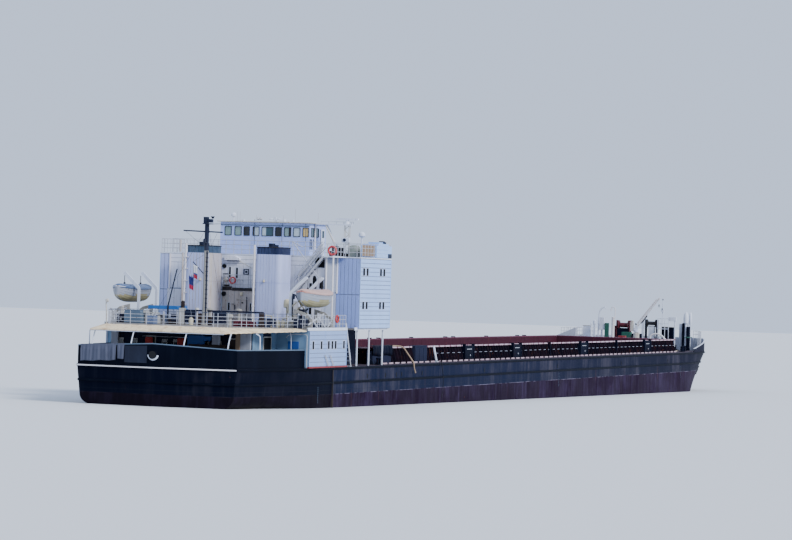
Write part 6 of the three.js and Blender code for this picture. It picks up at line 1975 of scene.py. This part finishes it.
def buildForedeck():
    z = levels["mainDeck"]
    restyle("windlass", "redPaint")
    x, y = 12560, -40
    gears = [revolved([(8, -4), (30, -4), (31, 0), (30, 4), (8, 4)], (x, y + shift, z + 48), 28,
                      axis="y") for shift in (-60, 60)]
    warpEnd = [(10, -16), (26, -16), (26, -12), (14, -10), (14, 10), (26, 12), (26, 16), (10, 16)]
    gears += [revolved(warpEnd, (x, y + shift, z + 48), axis="y") for shift in (-105, 105)]
    gears.append(boxes([[x - 80, x - 40, y - 24, y + 24, z + 10, z + 70],
                        [x - 120, x - 84, y - 18, y + 18, z, z + 54]]))
    addPiece("windlass_gears", gears, "redDark", bevel=0.0015)
    restyle("fore_hatches", "beigePaint")
    tops = boxes([[12336, 12474, 246, 504, z + 60, z + 64],
                  [12356, 12454, 261, 364, z + 110, z + 114]])
    dogs = boxes([[x0, x0 + 8, 240, 252, z + 30, z + 44] for x0 in (12352, 12400, 12448)])
    addPiece("hatch_lids", [tops, dogs], "whiteTrim", bevel=0.0015)
    store = boxes([[12380, 12520, -560, -330, z, z + 96], [12400, 12500, 540, 640, z, z + 80]])
    lids = boxes([[12376, 12524, -564, -326, z + 96, z + 102],
                  [12396, 12504, 536, 644, z + 80, z + 86]])
    addPiece("fore_stores", [store], "oldWhite", bevel=0.002)
    addPiece("fore_store_lids", [lids], "greenPaint", bevel=0.0015)
    green = [boxes([[12640, 12720, 120, 220, z, z + 70], [12640, 12700, -260, -200, z, z + 60]]),
             rods([[(12660, 240, z + 30), (12660, 420, z + 30)]], 22, 18)]
    addPiece("green_machinery", green, "greenPaint", slot="rail_steel", bevel=0.002)
    red = [boxes([[12480, 12540, -60, 20, z, z + 150], [12470, 12550, -150, -100, z, z + 110]]),
           rods([[(12510, -230, z + 60), (12510, -160, z + 60)]], 30, 20)]
    addPiece("red_machinery", red, "redPaint", bevel=0.002)
    restyle("crane_pedestal", "whiteTrim")
    restyle("crane_column", "whiteTrim")
    restyle("crane_boom", "lineWhite")
    cx, cy = craneLooks["foot"]
    pivot = np.array([cx, cy, craneLooks["pivot"]])
    reach, tilt = craneLooks["reach"], math.radians(craneLooks["tilt"])
    tip = pivot + [0, -reach * math.cos(tilt), reach * math.sin(tilt)]
    along, up = (tip - pivot) / reach, np.array([0, math.sin(tilt), math.cos(tilt)])
    ends = [tuple(pivot + along * run - up * drop) for run, drop in craneLooks["ram"]]
    ram, lugs = rods([ends[1:3]], 5.5, 10), rods([ends[:2], ends[2:]], 3.2, 8)
    addPiece("boom_ram", [ram, lugs], "darkSteel", body="crane_boom", slot="bare_steel")
    chords, laces = [], []
    for dx in (-7, 7):
        spots = [pivot + along * run + up * 19 + [dx, 0, 0] for run in np.linspace(40, 376, 13)]
        feet = [pivot + along * run + up * (11.5 - run * 0.015) + [dx, 0, 0]
                for run in np.linspace(40, 376, 13)]
        chords.append((tuple(spots[0]), tuple(spots[-1])))
        laces += [(tuple(feet[k]), tuple(spots[k + 1])) if k % 2
                  else (tuple(spots[k]), tuple(feet[k + 1])) for k in range(12)]
    addPiece("boom_lattice", [rods(chords, 3.4, 8), rods(laces, 2.0)], "lineWhite",
             body="crane_boom")
    balance = [prism([(cy + 36, 752), (cy + 64, 752), (cy + 64, 846), (cy + 52, 866),
                      (cy + 36, 866)], cx - 24, cx + 24, axis="x"),
               boxes([[cx - 16, cx + 16, cy + 14, cy + 38, 748, 762]])]
    addPiece("crane_balance", balance, "oldWhite", body="crane_column", bevel=0.0015)
    line = [[tuple(pivot + 0.06 * (tip - pivot) + [0, 4, 16]), tuple(tip + [0, 2, 9])]]
    drum = rods([[(cx - 10, cy + 8, 828), (cx + 10, cy + 8, 828)]], 9, 12)
    addPiece("boom_rope_drum", [rods(line, 1.1, 5), drum], "darkSteel", body="crane_boom",
             slot="bare_steel")
    hookAt = tip - [0, 0, 78.0]
    turn = np.linspace(-0.4 * np.pi, 1.1 * np.pi, 14)
    hook = np.column_stack([0 * turn + hookAt[0], hookAt[1] + 8 * np.cos(turn),
                            hookAt[2] - 8 - 8 * np.sin(turn)])
    eye = boxes([[cx - 5, cx + 5, hookAt[1] - 5, hookAt[1] + 5, hookAt[2] - 2, hookAt[2] + 12]])
    addPiece("boom_hook", [tube(hook, 2.2, guide=(1, 0, 0)), eye], "darkSteel", body="crane_boom",
             slot="bare_steel")
    collar = [revolved([(30, 0), (38, 0), (36, 10), (32, 150), (34, 172), (34, 184), (26, 186)],
                       (cx, cy, z), 24)]
    webs = [rods([[(cx + 62 * a, cy + 62 * b, z + 2), (cx + 34 * a, cy + 34 * b, z + 80)]], 3)
            for a, b in ((1, 0), (-1, 0), (0, 1), (0, -1))]
    addPiece("pedestal_collar", collar + webs, "oldWhite")
    restyle("fore_mast", "whiteTrim")
    lamps = [revolved([(5, 0), (7, 2), (7, 12), (3, 15)], spot, 12)
             for spot in ((13550, -190, 1094), (13528, -190, 990))]
    addPiece("fore_lamps", lamps, "mastBlack")
    restyle("fore_davit", "whiteTrim")
    restyle("hose_reel", "whiteTrim")
    turns = np.linspace(0, 2 * np.pi * 5, 140)
    coil = np.column_stack([12783 + 34 * turns / turns[-1], -300 + 20 * np.cos(turns),
                            z + 42 + 20 * np.sin(turns)])
    addPiece("reel_hose", [tube(coil, 3.6, guide=(1, 0.02, 0))], "hoseWhite")
    posts = [rods([upright(13100, -451, z, z + 350), upright(12640, -470, z, z + 120)], 7, 10),
             boxes([[13082, 13118, -464, -376, z + 318, z + 362],
                    [13088, 13112, -462, -440, z, z + 8]])]
    addPiece("fore_posts", posts, "whiteTrim")
    for k, (vx, vy) in enumerate(((12830, 420), (12830, -400), (13300, -300), (13420, -200),
                                  (13300, 300)), 1):
        profile = [(17, 0), (15, 6), (15, 78), (17, 84)]
        bend = smoothPath([(vx, vy, z + 78), (vx, vy, z + 96), (vx + 3, vy, z + 108),
                           (vx + 12, vy, z + 114)], 14)
        bell = revolved([(14, -6), (18, 2), (26, 12), (28, 16), (25, 16), (13, 4)],
                        (vx + 8, vy, z + 108), axis="x")
        addPiece(f"cowl_trunk_{k}", [revolved(profile, (vx, vy, z)),
                                     tube(bend, 15, 16, guide=(0, 1, 0)), bell], "whiteTrim",
                 replaces=f"cowl_vent_{k}")
        addPiece(f"cowl_mouth_{k}", [revolved([(0.5, 0), (22, 0), (22, 2), (0.5, 2)],
                                              (vx + 19, vy, z + 108), 18, axis="x")],
                 "redPaint")
    for side, s in bothSides:
        xs = np.array([12860, 13070, 13250, 13420, 13560.0])
        line = np.column_stack([xs, s * (deckHalf(xs) - 44)])
        addPiece(f"bow_rail_fine_{side}", railRun(line, z, [178, 215], 82, post=2.8, bar=2.4),
                 "railPaint", replaces=f"bow_rail_{side}")
        restyle(f"anchor_{side}", "darkSteel")
    caps = []
    for bx, by in ((300, 480), (2740, 745), (12480, 700), (12950, 600), (13350, 390)):
        for s in (1, -1):
            caps.append(boxes([[bx - 50, bx + 50, s * by - 18, s * by + 18, z, z + 8]]))
            for shift in (-30, 30):
                caps.append(revolved([(12, 0), (11, 6), (11, 44), (14.5, 47), (15, 53), (11, 56)],
                                     (bx + shift, s * by, z), 16))
    addPiece("mooring_bitts", caps, "navyBox", slot="hull_paint")
    coils = []
    for bx, by in ((12700, 560), (12700, -560), (240, 250)):
        turns = np.linspace(0, 2 * np.pi * 5, 150)
        coils.append(tube(np.column_stack([bx + (34 - 2.4 * turns / 6.28) * np.cos(turns),
                                           by + (34 - 2.4 * turns / 6.28) * np.sin(turns),
                                           z + 3 + 0 * turns]), 2.6, 6))
    addPiece("coiled_mooring_lines", coils, "beigePaint", slot="rope_fibre")


# Tall fittings forward, clear of the crane's sweep. Each row is a block: x0, x1, y0, y1,
# bottom, top
foreFittings = {
    "whiteTrim": [(12466, 12534, 333, 411, 551, 797), (12366, 12378, 286, 298, 551, 829),
                  (12366, 12378, 244, 256, 551, 829), (12366, 12378, 202, 214, 551, 829),
                  (12362, 12404, 146, 200, 760, 896), (12376, 12388, 166, 178, 551, 762),
                  (13190, 13208, -74, -50, 551, 892), (13196, 13240, -192, -126, 551, 806),
                  (13406, 13440, -452, -420, 551, 842)],
    "greenPaint": [(12352, 12380, 92, 136, 551, 835), (12996, 13060, 20, 122, 551, 736),
                   (13100, 13300, -600, -560, 692, 700)],
    "redDark": [(13186, 13262, 84, 92, 551, 862), (13186, 13262, 232, 240, 551, 862),
                (13180, 13270, 60, 262, 551, 640), (13200, 13248, 244, 284, 551, 800)],
    "navyBox": [(13186, 13268, -220, -212, 551, 880), (13186, 13268, -96, -88, 551, 880),
                (13180, 13276, -236, -76, 551, 650), (13220, 13300, -402, -270, 551, 800),
                (12990, 13050, -96, 4, 551, 722), (13192, 13256, 92, 232, 640, 776),
                (13376, 13430, -542, -512, 551, 812), (13376, 13430, -488, -462, 551, 850)],
    "oldWhite": [(12462, 12538, 329, 415, 797, 803), (13192, 13244, -196, -122, 806, 812),
                 (13216, 13304, -406, -266, 800, 806)],
}


def buildForeFittings():
    z = levels["mainDeck"]
    for paint, rows in foreFittings.items():
        addPiece(f"fore_fittings_{paint[:5].lower()}", [boxes(rows)], paint, bevel=0.002)
    drum = [(12, -58), (52, -58), (54, -55), (52, -51), (26, -47), (26, 47), (52, 51), (54, 55),
            (52, 58), (12, 58)]
    small = [(radius * 0.8, run * 0.88) for radius, run in drum]
    addPiece("fore_red_winch", [revolved(drum, (13226, 162, 808), 30, axis="y")], "redDark")
    addPiece("fore_dark_winch", [revolved(small, (13228, -154, 838), 28, axis="y")], "darkSteel",
             slot="navy_paint")
    slope = prism([(717, 551), (717, 668), (602, 714), (482, 771), (466, 771), (466, 551)], 12376,
                  12418, axis="x")
    edges = rods([[(12418, 717, 670), (12418, 482, 772)], [(12418, 717, 610), (12418, 470, 690)]],
                 4, 8)
    addPiece("fore_sloping_screen", [slope, edges], "bulwarkInner", slot="white_paint",
             bevel=0.0015)
    rails = [*railRun(np.array([(12440.0, 412.0), (12440.0, 470.0)]), z, [146, 190, 230], 29,
                      post=3.4, bar=3.0),
             *railRun(np.array([(13204.0, -352.0), (13204.0, -226.0)]), z, [230, 288, 344], 42,
                      post=4.0, bar=3.4)]
    addPiece("fore_frames", rails, "whiteTrim", slot="rail_steel")
    trunk = revolved([(19, 0), (17, 8), (17, 340), (20, 348), (14, 352)], (12360, 44, z))
    neck = smoothPath([(12360, 24, 890), (12360, 24, 970), (12360, 32, 1002), (12360, 48, 1010),
                       (12360, 64, 1000), (12360, 70, 966)], 24)
    goose = smoothPath([(12850, -238, z), (12850, -239, 672), (12850, -262, 716),
                        (12850, -310, 727), (12850, -362, 714), (12850, -404, 670),
                        (12850, -408, z)], 40)
    addPiece("fore_swan_necks", [trunk, tube(neck, 5, 10, guide=(1, 0, 0)),
                                 tube(goose, 9, 12, guide=(1, 0, 0))], "lineWhite")
    dome = np.array([(14, 0), (14, 282), (27, 300), (29, 342), (26, 384), (15, 414), (0.5, 425)])
    heads = [revolved([tuple(spot) for spot in dome * [scale, 1]], (hx, hy, z), 22)
             for hx, hy, scale in ((13400, -498, 1.0), (13496, -524, 0.62))]
    heads.append(revolved([(11, 0), (11, 300), (17, 308), (17, 342), (6, 350)], (13560, -486, z),
                          18))
    heads += [revolved([(11, 0), (11, 250), (18, 258), (18, 296), (6, 304)], (hx, hy, z), 18)
              for hx, hy in ((13420, 470), (13300, 520))]
    addPiece("fore_vent_heads", heads, "whiteTrim")


# Underwater: shafts, brackets, nozzles, rudders and screws
def buildUnderwater():
    parts = []
    for s in (1, -1):
        y = s * 330
        parts.append(rods([[(646, y, 115), (1400, y, 125)]], 13, 16))
        parts.append(boxes([[745, 775, y - 5, y + 5, 115, 262]]))
        parts.append(revolved([(13, 0), (17, 6), (17, 40), (13, 46)], (738, y, 116), 18, axis="x"))
    addPiece("shaft_lines", parts, "darkSteel", slot="hull_paint")
    for side, _ in bothSides:
        restyle(f"nozzle_{side}", "bootRed")
        restyle(f"propeller_{side}", "bronzeMetal")
        restyle(f"rudder_{side}", "bootRed")


buildForedeck()
buildForeFittings()
buildUnderwater()
print(pieceCount, "pieces made")
